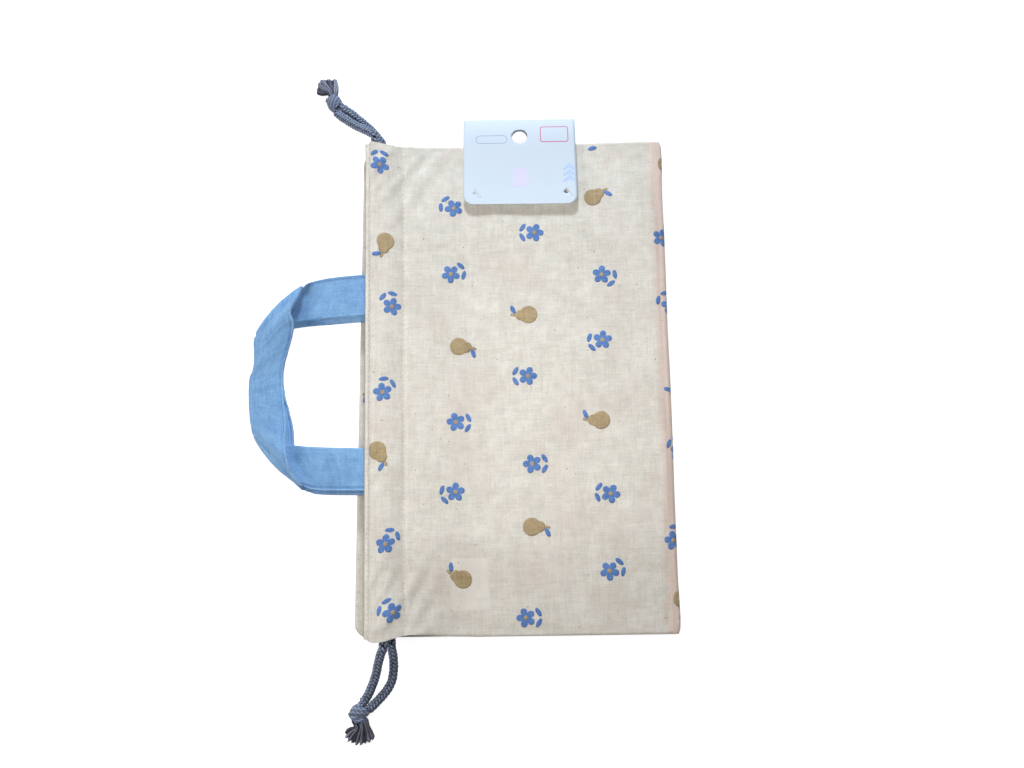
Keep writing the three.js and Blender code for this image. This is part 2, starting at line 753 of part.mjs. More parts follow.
// The card's outline as a tall prism, with the hanging hole through both flaps.
function cardOutline() {
  const [x0, x1] = [card.centreX - card.width / 2, card.centreX + card.width / 2];
  const [y0, y1] = [sideY - card.flapEnd, sideY + card.overhang + 1];
  const r = card.cornerRadius;
  const outline = new THREE.Shape();
  outline.moveTo(x0, y1);
  outline.lineTo(x0, y0 + r);
  outline.absarc(x0 + r, y0 + r, r, Math.PI, 1.5 * Math.PI, false);
  outline.lineTo(x1 - r, y0);
  outline.absarc(x1 - r, y0 + r, r, 1.5 * Math.PI, 2 * Math.PI, false);
  outline.lineTo(x1, y1);
  outline.closePath();
  const hole = new THREE.Path();
  hole.absarc(card.centreX, sideY + card.overhang - card.holeInset, card.holeRadius, 0, 2 * Math.PI, true);
  outline.holes.push(hole);
  const tall = 2 * bag.foldHeight;
  const prism = new THREE.ExtrudeGeometry(outline, { depth: tall, bevelEnabled: false, curveSegments: 8 });
  prism.translate(0, 0, -bag.foldHeight / 2);
  return prism;
}

// The pins' places in plan, turned with the card about the middle of its stretch of the side edge.
function pinPlaces() {
  const turned = (across) => [
    card.centreX + across * Math.cos(cardTurn) + pin.inset * Math.sin(cardTurn),
    sideY + across * Math.sin(cardTurn) - pin.inset * Math.cos(cardTurn),
  ];
  return {
    left: turned(pin.leftFromEdge - card.width / 2),
    right: turned(card.width / 2 - pin.rightFromEdge),
  };
}

function pinHoles() {
  return Object.values(pinPlaces()).map(([x, y]) => {
    const from = new THREE.Vector3(x, y, -1);
    const to = new THREE.Vector3(x, y, 2 * bag.foldHeight);
    return cylinder(pin.wireRadius + GAP, from, to, 8);
  });
}

// A plastic tag pin: a wire through card and cloth, with a cross bar at each end.
function tagPin([x, y]) {
  const frontZ = frontFlapZ(pin.inset) + card.thickness / 2 + GAP + pin.barRadius;
  const backZ = pin.barRadius;
  const angle = (pin.barAngle * Math.PI) / 180;
  const [ux, uy] = [Math.cos(angle), Math.sin(angle)];
  const slope = frontFlapZ(pin.inset + 1) - frontFlapZ(pin.inset);
  const bar = (z, rise) => {
    const reach = pin.barLength / 2;
    const from = new THREE.Vector3(x - ux * reach, y - uy * reach, z - rise * reach);
    const to = new THREE.Vector3(x + ux * reach, y + uy * reach, z + rise * reach);
    return manifoldOf(cylinder(pin.barRadius, from, to, 8));
  };
  const [low, high] = [new THREE.Vector3(x, y, backZ), new THREE.Vector3(x, y, frontZ)];
  const wire = manifoldOf(cylinder(pin.wireRadius, low, high, 8));
  return geometryFrom(wire.add(bar(frontZ, -uy * slope)).add(bar(backZ, 0)));
}

// Materials

const finish = (color, roughness, metalness = 0) => () =>
  new THREE.MeshStandardMaterial({ color, roughness, metalness });
const cotton = finish(0xe3dfd3, 0.92);
const hemCotton = finish(0xdcd7c8, 0.92);
const seamCotton = finish(0xd3cdbd, 0.94);
const blueCloth = finish(0x7db0e0, 0.88);
const blueClothDark = finish(0x5a88b8, 0.9);
const cordYarn = finish(0x8492a8, 0.9);
const frayedYarn = finish(0x6c7688, 0.95);
const cardboard = finish(0xdaeafa, 0.5);
const clearPlastic = finish(0xe8ecee, 0.25);
const labelTape = finish(0xf4f3ee, 0.8);

// Assembly

const pouch = new THREE.Group();
pouch.name = "drawstring_pouch";

function piece(parent, name, geometry, material) {
  const mesh = new THREE.Mesh(geometry, material());
  mesh.name = name;
  parent.add(mesh);
}

function group(name) {
  const made = new THREE.Group();
  made.name = name;
  pouch.add(made);
  return made;
}

const body = group("pouch_body");
piece(body, "front_panel", panel(true), cotton);
piece(body, "back_panel", panel(false), cotton);
piece(body, "front_casing_facing", facing(frontFacingZ), hemCotton);
piece(body, "back_casing_facing", facing(backFacingZ), hemCotton);
piece(body, "side_seam_a", sideSeamStrip(1), seamCotton);
piece(body, "side_seam_b", sideSeamStrip(-1), seamCotton);
piece(body, "base_seam", baseSeamStrip(), seamCotton);
piece(body, "name_label", nameLabel(), labelTape);

for (const isFront of [true, false]) {
  const name = isFront ? "front_handle" : "back_handle";
  const made = group(name);
  const material = isFront ? blueCloth : blueClothDark;
  piece(made, name + "_loop", handleLoop(isFront), material);
  piece(made, name + "_end_a", handleEnd(isFront, 1), material);
  piece(made, name + "_end_b", handleEnd(isFront, -1), material);
}

function addCord(letter, side, frontX, backX) {
  const name = "cord_" + letter;
  const made = group(name);
  const knotPlace = { ...knotPlaces[letter], centre: outwards(side)(knotPlaces[letter].centre) };
  piece(made, name + "_front_run", cordRun(frontX, true, side), cordYarn);
  piece(made, name + "_back_run", cordRun(backX, false, side), cordYarn);
  piece(made, name + "_bight", cordBight(frontX, backX, side), cordYarn);
  piece(made, name + "_front_tail", cordTail(letter, side, frontX, true), cordYarn);
  piece(made, name + "_back_tail", cordTail(letter, side, backX, false), cordYarn);
  piece(made, name + "_knot", cordKnot(knotPlace), cordYarn);
  piece(made, name + "_tassel", cordTassel(knotPlace), frayedYarn);
}
addCord("a", 1, cordPlaces.frontA, cordPlaces.backA);
addCord("b", -1, cordPlaces.frontB, cordPlaces.backB);

const tag = group("hang_card_set");
piece(tag, "hang_card", hangCard(), cardboard);
for (const [where, place] of Object.entries(pinPlaces())) {
  piece(tag, "card_pin_" + where, tagPin(place), clearPlastic);
}

export default pouch;
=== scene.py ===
# Dresses a folded cotton drawstring pouch: printed cloth, tape handles, braided cords and hang card.
# Shapes are worked out in millimetres, and new_object() turns them into Blender's metres.
# Side a is +Y and side b is -Y. The mouth is towards -X and the half-way fold towards +X.

import math
from types import SimpleNamespace

import bpy
import numpy as np
from mathutils import Matrix, Vector, noise


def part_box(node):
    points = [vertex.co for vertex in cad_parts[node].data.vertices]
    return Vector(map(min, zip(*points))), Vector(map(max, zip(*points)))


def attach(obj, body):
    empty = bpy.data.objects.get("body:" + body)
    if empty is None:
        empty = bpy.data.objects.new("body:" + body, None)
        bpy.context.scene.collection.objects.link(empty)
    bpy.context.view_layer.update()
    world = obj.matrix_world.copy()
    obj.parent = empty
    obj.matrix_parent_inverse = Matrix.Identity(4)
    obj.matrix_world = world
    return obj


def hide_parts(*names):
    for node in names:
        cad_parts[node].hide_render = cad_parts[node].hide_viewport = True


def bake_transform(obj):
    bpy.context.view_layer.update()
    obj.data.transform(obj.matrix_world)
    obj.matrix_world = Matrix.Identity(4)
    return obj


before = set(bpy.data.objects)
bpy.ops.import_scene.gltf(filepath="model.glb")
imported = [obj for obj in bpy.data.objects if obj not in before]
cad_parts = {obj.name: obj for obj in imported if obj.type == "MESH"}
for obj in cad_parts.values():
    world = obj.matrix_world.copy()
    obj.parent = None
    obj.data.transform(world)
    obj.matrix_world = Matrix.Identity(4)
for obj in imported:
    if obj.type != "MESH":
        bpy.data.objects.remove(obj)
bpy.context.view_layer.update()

MM = 0.001


def node_box(node):
    """A CAD node's lowest and highest corners, in millimetres."""
    low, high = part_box(node)
    return np.array(low) / MM, np.array(high) / MM


# Sizes read from the frame

front_facing_box = node_box("front_casing_facing")
back_facing_box = node_box("back_casing_facing")
panel_box = node_box("front_panel")
card_box = node_box("hang_card")
label_box = node_box("name_label")

# Sizes that several parts share. SEAM_ROOM is for the seam allowances between the lower half's panels.

GAP = 0.3
CLOTH = 0.6
SEAM_ROOM = 0.9
MOUTH_X = front_facing_box[0][0] - GAP
HEM_END_X = front_facing_box[1][0]
FOLD_X = panel_box[1][0]
SIDE_Y = 150.0
TUNNEL_Y = panel_box[1][1]
FACING_Y = front_facing_box[1][1]
PAIR_SPACING = SEAM_ROOM + CLOTH + 2 * GAP
LOWER_FRONT_Z = CLOTH / 2
LOWER_BACK_Z = LOWER_FRONT_Z + PAIR_SPACING
LOWER_SEAM_Z = (LOWER_FRONT_Z + LOWER_BACK_Z) / 2
FRONT_FACING_Z = (front_facing_box[0][2] + front_facing_box[1][2]) / 2
BACK_FACING_Z = (back_facing_box[0][2] + back_facing_box[1][2]) / 2
FRONT_STITCH_Z = FRONT_FACING_Z + CLOTH + GAP
BACK_STITCH_Z = BACK_FACING_Z - CLOTH - GAP


# Maths

def smooth(t):
    t = np.clip(t, 0.0, 1.0)
    return t * t * (3 - 2 * t)


def mix(a, b, t):
    return a + (b - a) * t


def ripple(x, y, seed):
    """Perlin noise at arrays of places, about -1 to 1."""
    return np.vectorize(lambda u, v: noise.noise(Vector((u, v, seed))))(x, y)


def unit(vectors):
    return vectors / np.maximum(np.linalg.norm(vectors, axis=-1), 1e-9)[..., None]


def lengths(points):
    """The length along a line at each of its points."""
    return np.concatenate([[0], np.cumsum(np.linalg.norm(np.diff(points, axis=0), axis=1))])


def at_length(points, chord, at):
    """The points of a line at given lengths. chord is the length at each of its own points."""
    points = np.asarray(points, float)
    return np.stack([np.interp(at, chord, points[:, axis]) for axis in range(points.shape[1])], axis=-1)


def curve(points, chord, at):
    """As at_length, but along a smooth curve through the points."""
    slope = np.gradient(points, chord, axis=0)
    index = np.clip(np.searchsorted(chord, at, side="right") - 1, 0, len(chord) - 2)
    step = (chord[index + 1] - chord[index])[:, None]
    t = (at - chord[index])[:, None] / step
    return ((2 * t**3 - 3 * t**2 + 1) * points[index] + (t**3 - 2 * t**2 + t) * (slope[index] * step)
            + (3 * t**2 - 2 * t**3) * points[index + 1] + (t**3 - t**2) * (slope[index + 1] * step))


def spline(points, samples):
    """Points along a smooth curve through the given ones, at even steps of chord length."""
    points = np.array(points, float)
    chord = lengths(points)
    return curve(points, chord, np.linspace(0, chord[-1], samples))


# Making objects

def add_object(name, data):
    obj = bpy.data.objects.new(name, data)
    bpy.context.scene.collection.objects.link(obj)
    return obj


def new_object(name, points, material, body, faces=None, weave=None, thickness=0.0, shaded_smooth=True):
    """A mesh from points in millimetres, by default a grid of them, or a sheet of some thickness.

    It rides on the named body, or on none when body is empty."""
    points = np.asarray(points, float)
    mesh = bpy.data.meshes.new(name)
    mesh.from_pydata((points.reshape(-1, 3) * MM).tolist(), [], faces or grid_faces(*points.shape[:2]))
    mesh.update()
    if weave is not None:
        layer = mesh.attributes.new("weave", "FLOAT_VECTOR", "POINT")
        layer.data.foreach_set("vector", np.asarray(weave, np.float32).ravel())
    mesh.polygons.foreach_set("use_smooth", [shaded_smooth] * len(mesh.polygons))
    mesh.materials.append(material)
    obj = add_object(name, mesh)
    if body:
        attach(obj, body)
    if thickness:
        solid = obj.modifiers.new("thickness", "SOLIDIFY")
        solid.thickness = thickness * MM
        solid.offset = 0.0
    return obj


def grid_faces(rows, columns, start=0, closed=False):
    """Quads of a grid of points stored row by row. A closed grid joins its last column to its first."""
    faces = []
    for i in range(rows - 1):
        for j in range(columns if closed else columns - 1):
            k = (j + 1) % columns
            a = start + i * columns
            b = a + columns
            faces.append((a + j, a + k, b + k, b + j))
    return faces


def ring_faces(count, size, start=0):
    """Faces of a closed solid through rings of equal size."""
    end = start + count * size
    caps = [tuple(reversed(range(start, start + size))), tuple(range(end - size, end))]
    return grid_faces(count, size, start, closed=True) + caps


class Pile:
    """Collects closed solids into one mesh. tone is how light the yarn is at each point, 0 to 1, and carries
    painted shade on the braids and frayed ends.
    """

    def __init__(self):
        self.points = []
        self.tones = []
        self.faces = []
        self.count = 0

    def add(self, rings, tone=1.0):
        rings = np.asarray(rings, float)
        shape = rings.shape[:2]
        self.points.append(rings.reshape(-1, 3))
        self.tones.append(np.broadcast_to(tone, shape).ravel())
        self.faces += ring_faces(*shape, self.count)
        self.count += len(self.points[-1])

    def make(self, name, material, body, slot):
        tones = np.concatenate(self.tones)
        weave = np.stack([tones * 0, tones, tones * 0], axis=1)
        return new_object(name, np.concatenate(self.points), material, body, self.faces, weave)


def path_frames(path):
    """Side and normal at each point of a path, without twist."""
    tangents = unit(np.gradient(path, axis=0))
    side = np.cross((0, 0, 1), tangents[0])
    if np.linalg.norm(side) < 1e-6:
        side = np.cross((1, 0, 0), tangents[0])
    sides = []
    for tangent in tangents:
        side = side - tangent * np.dot(side, tangent)
        side = side / np.linalg.norm(side)
        sides.append(side)
    return np.array(sides), np.cross(tangents, sides)


def tube_rings(path, radius, sides=8, flat=1.0):
    """Rings of a tube. radius is one number or one for each point."""
    path = np.asarray(path, float)
    radius = np.broadcast_to(radius, len(path))
    side, normal = path_frames(path)
    angle = np.arange(sides) * 2 * math.pi / sides
    u = np.cos(angle)[None, :, None] * side[:, None, :]
    v = np.sin(angle)[None, :, None] * normal[:, None, :] * flat
    return path[:, None, :] + radius[:, None, None] * (u + v)


def capsule_rings(start, end, radius, sides=6):
    """Rings of a short rod with round ends."""
    along = unit(end - start)
    path = [start, start + along * radius * 0.3, start + along * radius,
            end - along * radius, end - along * radius * 0.3, end]
    return tube_rings(path, np.array([0.25, 0.72, 1, 1, 0.72, 0.25]) * radius, sides)


# Materials

def srgb(red, green, blue):
    """A colour given as it looks on a screen, 0 to 255, in the linear form that shaders use."""
    def linear(value):
        value /= 255
        return value / 12.92 if value <= 0.04045 else ((value + 0.055) / 1.055) ** 2.4
    return (linear(red), linear(green), linear(blue), 1.0)


class Nodes:
    """A node tree, with short ways to add and join nodes."""

    def __init__(self, owner):
        owner.use_nodes = True
        self.tree = owner.node_tree

    def node(self, kind, inputs=None, **settings):
        made = self.tree.nodes.new("ShaderNode" + kind)
        for key, value in settings.items():
            setattr(made, key, value)
        for key, value in (inputs or {}).items():
            self.put(made.inputs[key], value)
        return made

    def put(self, socket, value):
        if isinstance(value, bpy.types.NodeSocket):
            self.tree.links.new(value, socket)
        else:
            socket.default_value = value

    def math(self, operation, a, b=0.0, c=0.0):
        return self.node("Math", {0: a, 1: b, 2: c}, operation=operation).outputs[0]

    def split(self, vector):
        return self.node("SeparateXYZ", {0: vector}).outputs


class Shader(Nodes):
    """The node tree of one of the object's materials."""

    def __init__(self, name, roughness, **sockets):
        self.material = bpy.data.materials.new(name)
        super().__init__(self.material)
        self.surface = self.tree.nodes["Principled BSDF"]
        self.put(self.surface.inputs["Roughness"], roughness)
        for socket, value in sockets.items():
            self.put(self.surface.inputs[socket.replace("_", " ")], value)

    def blend(self, a, b, share, strength=1.0):
        """From a to b, as share goes from 0 to 1. a and b may be colours as on a screen."""
        if strength != 1.0:
            share = self.math("MULTIPLY", share, strength)
        made = self.node("Mix", data_type="RGBA")
        self.put(made.inputs["Factor"], share)
        for socket, value in (("A", a), ("B", b)):
            self.put(made.inputs[socket], srgb(*value) if isinstance(value, tuple) else value)
        return made.outputs["Result"]

    def ramp(self, value, low, high):
        """0 below low, 1 above high and smooth between."""
        made = self.node("MapRange", {"Value": value, "From Min": low, "From Max": high},
                         interpolation_type="SMOOTHSTEP")
        return made.outputs["Result"]

    def noise(self, vector, scale, detail=2.0, stretch=(1, 1, 1)):
        mapping = self.node("Mapping", {"Vector": vector, "Scale": stretch})
        made = self.node("TexNoise", {"Vector": mapping.outputs[0], "Scale": scale, "Detail": detail})
        return made.outputs["Fac"]

    def weave_place(self):
        """The place on the flat cloth, in millimetres."""
        return self.node("Attribute", attribute_name="weave").outputs["Vector"]

    def object_place(self):
        """The place in the object, in millimetres."""
        place = self.node("TexCoord").outputs["Object"]
        return self.node("VectorMath", {0: place, 1: (1000, 1000, 1000)}, operation="MULTIPLY").outputs[0]

    def done(self, colour, relief=None, depth=0.0):
        """The material, with its colour and with a relief of some depth in millimetres."""
        self.put(self.surface.inputs["Base Color"], colour)
        if relief:
            made = self.node("Bump", {"Height": relief, "Distance": depth * MM})
            self.put(self.surface.inputs["Normal"], made.outputs[0])
        return self.material


def thread_pattern(shader, place, pitch):
    """Height of a plain weave of threads that pass over and under each other."""
    across = [shader.math("SINE", shader.math("MULTIPLY", axis, math.pi / pitch))
              for axis in shader.split(place)[:2]]
    warp_over = shader.ramp(shader.math("MULTIPLY", *across), -0.35, 0.35)
    warp, weft = [shader.math("ABSOLUTE", wave) for wave in across]
    over = shader.math("MULTIPLY", warp, warp_over)
    under = shader.math("MULTIPLY", weft, shader.math("SUBTRACT", 1.0, warp_over))
    return shader.math("ADD", over, under)


# Scale and strength of the cloth's blotches, then the scale, colour and strength of its faint stains and
# the scale, size and colour of its plant flecks
CLOTH_BLOTCHES = [(0.42, 0.35), (0.14, 0.6), (0.03, 0.5)]
CLOTH_STAINS = [(0.022, (228, 208, 198), 0.22), (0.09, (226, 210, 200), 0.12), (0.13, (214, 220, 214), 0.2)]
PLANT_FLECKS = [(0.2, 0.1, (112, 92, 78)), (0.36, 0.075, (150, 128, 108))]
# Painted warm shade: the pink that the side of the pouch's fold is tinted with
FOLD_SHADE_TINT = (255, 222, 206)
WORN_TINT = (226, 222, 212)


def woven(name, base, dark, pitch=0.55, flecks=0.0, slub=1.0, bump=0.10, faded=0.0, pale=(255, 251, 240)):
    """Woven cloth: threads, fine and broad slubs, soft blotches and plant flecks.

    It turns pale where the third number of its weave place is above 0: over the name label inside, and on the
    tape's first edge as a painted highlight. It turns pink where that number is below 0, a painted warm shade
    on the side of the pouch's fold."""
    shader = Shader(name, 0.93, Sheen_Weight=0.15, Sheen_Roughness=0.6, Specular_IOR_Level=0.25)
    place = shader.weave_place()
    threads = thread_pattern(shader, place, pitch)

    def slubs(detail, across, along):
        return shader.math("ADD", shader.noise(place, 1.0, detail, (across, along, 1)),
                           shader.noise(place, 1.0, detail, (along, across, 1)))
    fine = slubs(3.0, 1.3, 0.09)
    grain = shader.noise(place, 1.5)
    tone = shader.math("MULTIPLY_ADD", threads, 0.22, 0.40)
    parts = [(fine, 1.0, 0.6 * slub), (slubs(2.0, 0.42, 0.035), 1.0, 0.28 * slub), (grain, 0.5, 0.9)]
    parts += [(shader.noise(place, scale), 0.5, amount) for scale, amount in CLOTH_BLOTCHES]
    for part, middle, amount in parts:
        tone = shader.math("MULTIPLY_ADD", shader.math("SUBTRACT", part, middle), amount, tone)
    colour = shader.blend(dark, base, shader.ramp(tone, 0.0, 1.0))
    extra = shader.split(place)[2]
    colour = shader.blend(colour, pale, shader.math("MAXIMUM", extra, 0.0), 0.75)
    # Where the third number is below 0: painted warm shade on the side of the pouch's fold
    folded = shader.math("MAXIMUM", shader.math("MULTIPLY", extra, -1.0), 0.0)
    colour = shader.blend(colour, FOLD_SHADE_TINT, folded, 0.6)
    if flecks:
        for spread, tint, amount in CLOTH_STAINS:
            colour = shader.blend(colour, tint, shader.ramp(shader.noise(place, spread), 0.48, 0.7), amount)
        for spacing, size, tint in PLANT_FLECKS:
            spots = shader.node("TexVoronoi", {"Vector": place, "Scale": spacing}).outputs
            near = shader.ramp(spots["Distance"], size, size * 0.45)
            chosen = shader.node("SeparateColor", {0: spots["Color"]}).outputs[0]
            rare = shader.ramp(chosen, 0.5, 0.95)
            colour = shader.blend(colour, tint, shader.math("MULTIPLY", near, rare), flecks)
    if faded:
        colour = shader.blend(colour, WORN_TINT, shader.ramp(grain, 0.5, 0.75), faded)
    return shader.done(colour, shader.math("MULTIPLY_ADD", fine, 0.9, threads), bump)


def yarn(name, base, dark):
    """Spun yarn: fine fibres, and darker where its tone is low: painted shade where it dives under its
    neighbours and along its sides.
    """
    shader = Shader(name, 0.9, Sheen_Weight=0.2, Sheen_Roughness=0.5, Specular_IOR_Level=0.2)
    fibres = shader.noise(shader.object_place(), 2.4, 4.0)
    light = shader.split(shader.weave_place())[1]
    tone = shader.math("MULTIPLY_ADD", shader.math("SUBTRACT", fibres, 0.5), 1.2, light)
    return shader.done(shader.blend(dark, base, shader.ramp(tone, 0.0, 1.0)), fibres, 0.15)


def paper(name, low, high):
    """Coated card, a little paler towards its free end, with a fine tooth."""
    shader = Shader(name, 0.55, Specular_IOR_Level=0.3)
    place = shader.object_place()
    share = shader.ramp(shader.split(place)[1], card_box[1][1], card_box[0][1])
    colour = shader.blend(low, high, share)
    colour = shader.blend(colour, (222, 232, 244), shader.noise(place, 0.12, 3.0), 0.25)
    return shader.done(colour, shader.noise(place, 5.0), 0.01)


def ink(name, colour):
    shader = Shader(name, 0.5)
    paler = tuple(min(255, value + 14) for value in colour)
    return shader.done(shader.blend(colour, paler, shader.noise(shader.object_place(), 6.0)))


def clear_plastic(name):
    shader = Shader(name, 0.3, Transmission_Weight=0.35, IOR=1.49)
    haze = shader.noise(shader.object_place(), 1.5)
    shader.put(shader.surface.inputs["Roughness"], shader.math("MULTIPLY_ADD", haze, 0.2, 0.2))
    return shader.done(shader.blend((232, 238, 246), (250, 252, 255), haze))


cotton = woven("cotton", (253, 251, 241), (218, 212, 198), flecks=0.8)
seam_cotton = woven("cotton_seam", (234, 228, 213), (190, 178, 158))
label_tape = woven("label_tape", (250, 249, 245), (226, 225, 219), pitch=0.3, slub=0.4, bump=0.04)
blue_print = woven("blue_print", (112, 158, 226), (74, 112, 176), faded=0.12)
tan_print = woven("tan_print", (206, 184, 144), (158, 138, 100), faded=0.15)
# The tape's pale colour paints a highlight along its first edge
blue_tape = woven("blue_tape", (158, 210, 255), (104, 154, 213), pitch=0.6, slub=0.8, bump=0.16,
                  pale=(190, 222, 252))
stitch_thread = yarn("stitch_thread", (246, 244, 238), (222, 216, 204))
# Painted shade: the dark colour of the needle holes
needle_hole_shade = yarn("needle_hole_shade", (202, 193, 180), (172, 162, 146))
blue_thread = yarn("blue_thread", (152, 202, 248), (110, 158, 212))
seam_thread = yarn("seam_thread", (244, 240, 230), (212, 206, 192))
cord_yarn = yarn("cord_yarn", (160, 176, 206), (10, 14, 30))
# The core's dark colour is painted shade seen between the yarns
cord_core_painted_shade = yarn("cord_core_painted_shade", (30, 38, 60), (18, 24, 42))
frayed_yarn = yarn("frayed_yarn", (166, 170, 190), (24, 26, 44))
card_face = paper("card_face", (209, 223, 236), (211, 226, 239))
lavender_ink = ink("lavender_ink", (212, 211, 238))
rose_ink = ink("rose_ink", (190, 76, 128))
slate_ink = ink("slate_ink", (134, 150, 180))
chevron_ink = ink("chevron_ink", (178, 202, 234))
plastic = clear_plastic("clear_plastic")


# The pouch's cloth

HEM_X = HEM_END_X - 2.4
TOP_STITCH_X = MOUTH_X + 2.3
HEM_LENGTH = 28.0
HEM_ROWS = 14
HEM_TURN_ROWS = 8
TUNNEL_ROWS = 46
NECK_ROWS = 24
UPPER_ROWS = 48
FRONT_FOLD_ROWS = 24
BACK_FOLD_ROWS = 15
LOWER_ROWS = 62
NECK_START_X = HEM_END_X + 0.5
NECK_LENGTH = 40.0
NECK_END_X = NECK_START_X + NECK_LENGTH
SEAM_MIDDLE_Z = 6.35
SEAM_LEAD = 12.0
SIDE_TAPER = 60.0
BASE_OVERHANG = 5.8
BASE_SKEW = 0.0155
BASE_CORNER = 8.0
CARD_REACH = 39.0
LIFT_HEIGHT = 1.95
LIFT_FROM_X = -38.5
LIFT_TO_X = 43.7
LIFT_LEAD = 20.0

# Each tunnel's outside: distance from the mouth and height over the hem's stitching
FRONT_PROFILE = [(0, 0), (1.3, 0.25), (2.4, 0.35), (2.8, 1.5), (3.3, 3.4), (4.3, 5.1), (6.1, 5.95),
                 (9.0, 5.85), (11.5, 5.9), (13.6, 5.65), (16, 4.7), (18.6, 3.0), (21.2, 1.3),
                 (23.6, 0), (26, 0.1)]
BACK_PROFILE = [(0, 0), (1.3, 0.25), (2.5, 0.35), (3.6, 1.9), (4.9, 4.0), (6.4, 5.3), (8.6, 5.7),
                (11.4, 5.7), (14.2, 5.7), (16.4, 4.9), (18.2, 3.2), (20, 1.6), (21.8, 0.6),
                (23.6, 0), (26, 0.15)]

# How far each side edge stands past SIDE_Y, at distances from the mouth
EDGE_DRIFT_A = [(0, 0.3), (3, 0.5), (6, -0.4), (9, -1.1), (13, -2.1), (20, -2.7), (32, -2.4),
                (48, -0.9), (66, 0)]
EDGE_DRIFT_B = [(0, 0), (3, 0.8), (6, 1.5), (9, 1.5), (13, 0.7), (17, -0.4), (22, -1.7), (28, -2.3),
                (36, -1.8), (48, -0.7), (66, 0)]

# The pressed fold's outside, from its top to the table: distance in from its edge and share of its height
FOLD_SECTION = [(8, 1), (6.8, 0.99), (5.2, 0.955), (3.2, 0.9), (1.4, 0.84), (0.4, 0.74), (0, 0.52),
                (0.35, 0.25), (1.6, 0.07), (3.8, 0)]

# What differs between the front panel and the back one. make_panel adds the points of the finished cloth.
front = SimpleNamespace(name="front", out=1, facing_z=FRONT_FACING_Z, stitch_z=FRONT_STITCH_Z, flat_z=11.7,
                        lower_z=LOWER_FRONT_Z, profile=FRONT_PROFILE, hem_rise=1.9, seed=1.0)
back = SimpleNamespace(name="back", out=-1, facing_z=BACK_FACING_Z, stitch_z=BACK_STITCH_Z, flat_z=6.5,
                       lower_z=LOWER_BACK_Z, profile=BACK_PROFILE, hem_rise=0.0, seed=21.0)


def edge_drift(x, share):
    on_a, on_b = [np.interp(x - MOUTH_X, *zip(*drift)) for drift in (EDGE_DRIFT_A, EDGE_DRIFT_B)]
    return np.where(share > 0, on_a, on_b)


def side_share(y):
    return smooth((np.abs(y) - (SIDE_Y - SIDE_TAPER)) / SIDE_TAPER)


def neck_share(x):
    return smooth((x - NECK_START_X) / NECK_LENGTH)


def hem_rise(x, y, panel):
    """How far the front panel puffs up round its hem stitching, less towards the sides."""
    along = smooth((x - MOUTH_X - 12) / 11) * (1 - smooth((x - HEM_X) / (NECK_LENGTH + 8)))
    return panel.hem_rise * along * (1 - 0.7 * side_share(y))


def seam_height(x):
    return mix((FRONT_STITCH_Z + BACK_STITCH_Z) / 2, SEAM_MIDDLE_Z, neck_share(x))


def edge_closing(distance):
    """Half the distance between the two panels' middles, at a distance from a sewn edge."""
    share = np.clip(distance / 1.4, 0, 1)
    return mix(CLOTH / 2, PAIR_SPACING / 2, np.sqrt(1 - (1 - share) ** 2))


def upper_height(x, y, panel):
    """A panel's height on the pouch's upper half, beyond its hem."""
    middle = mix(panel.stitch_z, panel.flat_z, neck_share(x))
    side = seam_height(x) + panel.out * edge_closing(SIDE_Y - np.abs(y))
    return mix(middle, side, side_share(y) * smooth((x - NECK_START_X) / SEAM_LEAD))


def base_x(y):
    straight = MOUTH_X - BASE_OVERHANG + BASE_SKEW * y
    into = np.maximum(0, np.abs(y) - (SIDE_Y - BASE_CORNER))
    return straight + BASE_CORNER - np.sqrt(np.maximum(0, BASE_CORNER**2 - into**2))


def lift_at(x, y):
    """The lower half is lifted where the card's back flap lies under it."""
    along = np.minimum(x - LIFT_FROM_X, LIFT_TO_X - x) / LIFT_LEAD + 1
    return LIFT_HEIGHT * smooth(along) * smooth((y - (SIDE_Y - CARD_REACH - LIFT_LEAD)) / 14)


def column_shares():
    """Where the cloth's columns stand across the pouch, closer together at its side edges."""
    inner = np.linspace(-1, 1, 189) * (148.2 / SIDE_Y)
    edge = np.array([148.6, 148.95, 149.25, 149.5, 149.7, 149.85, 149.95, 150]) / SIDE_Y
    return np.concatenate([-edge[::-1], inner, edge])


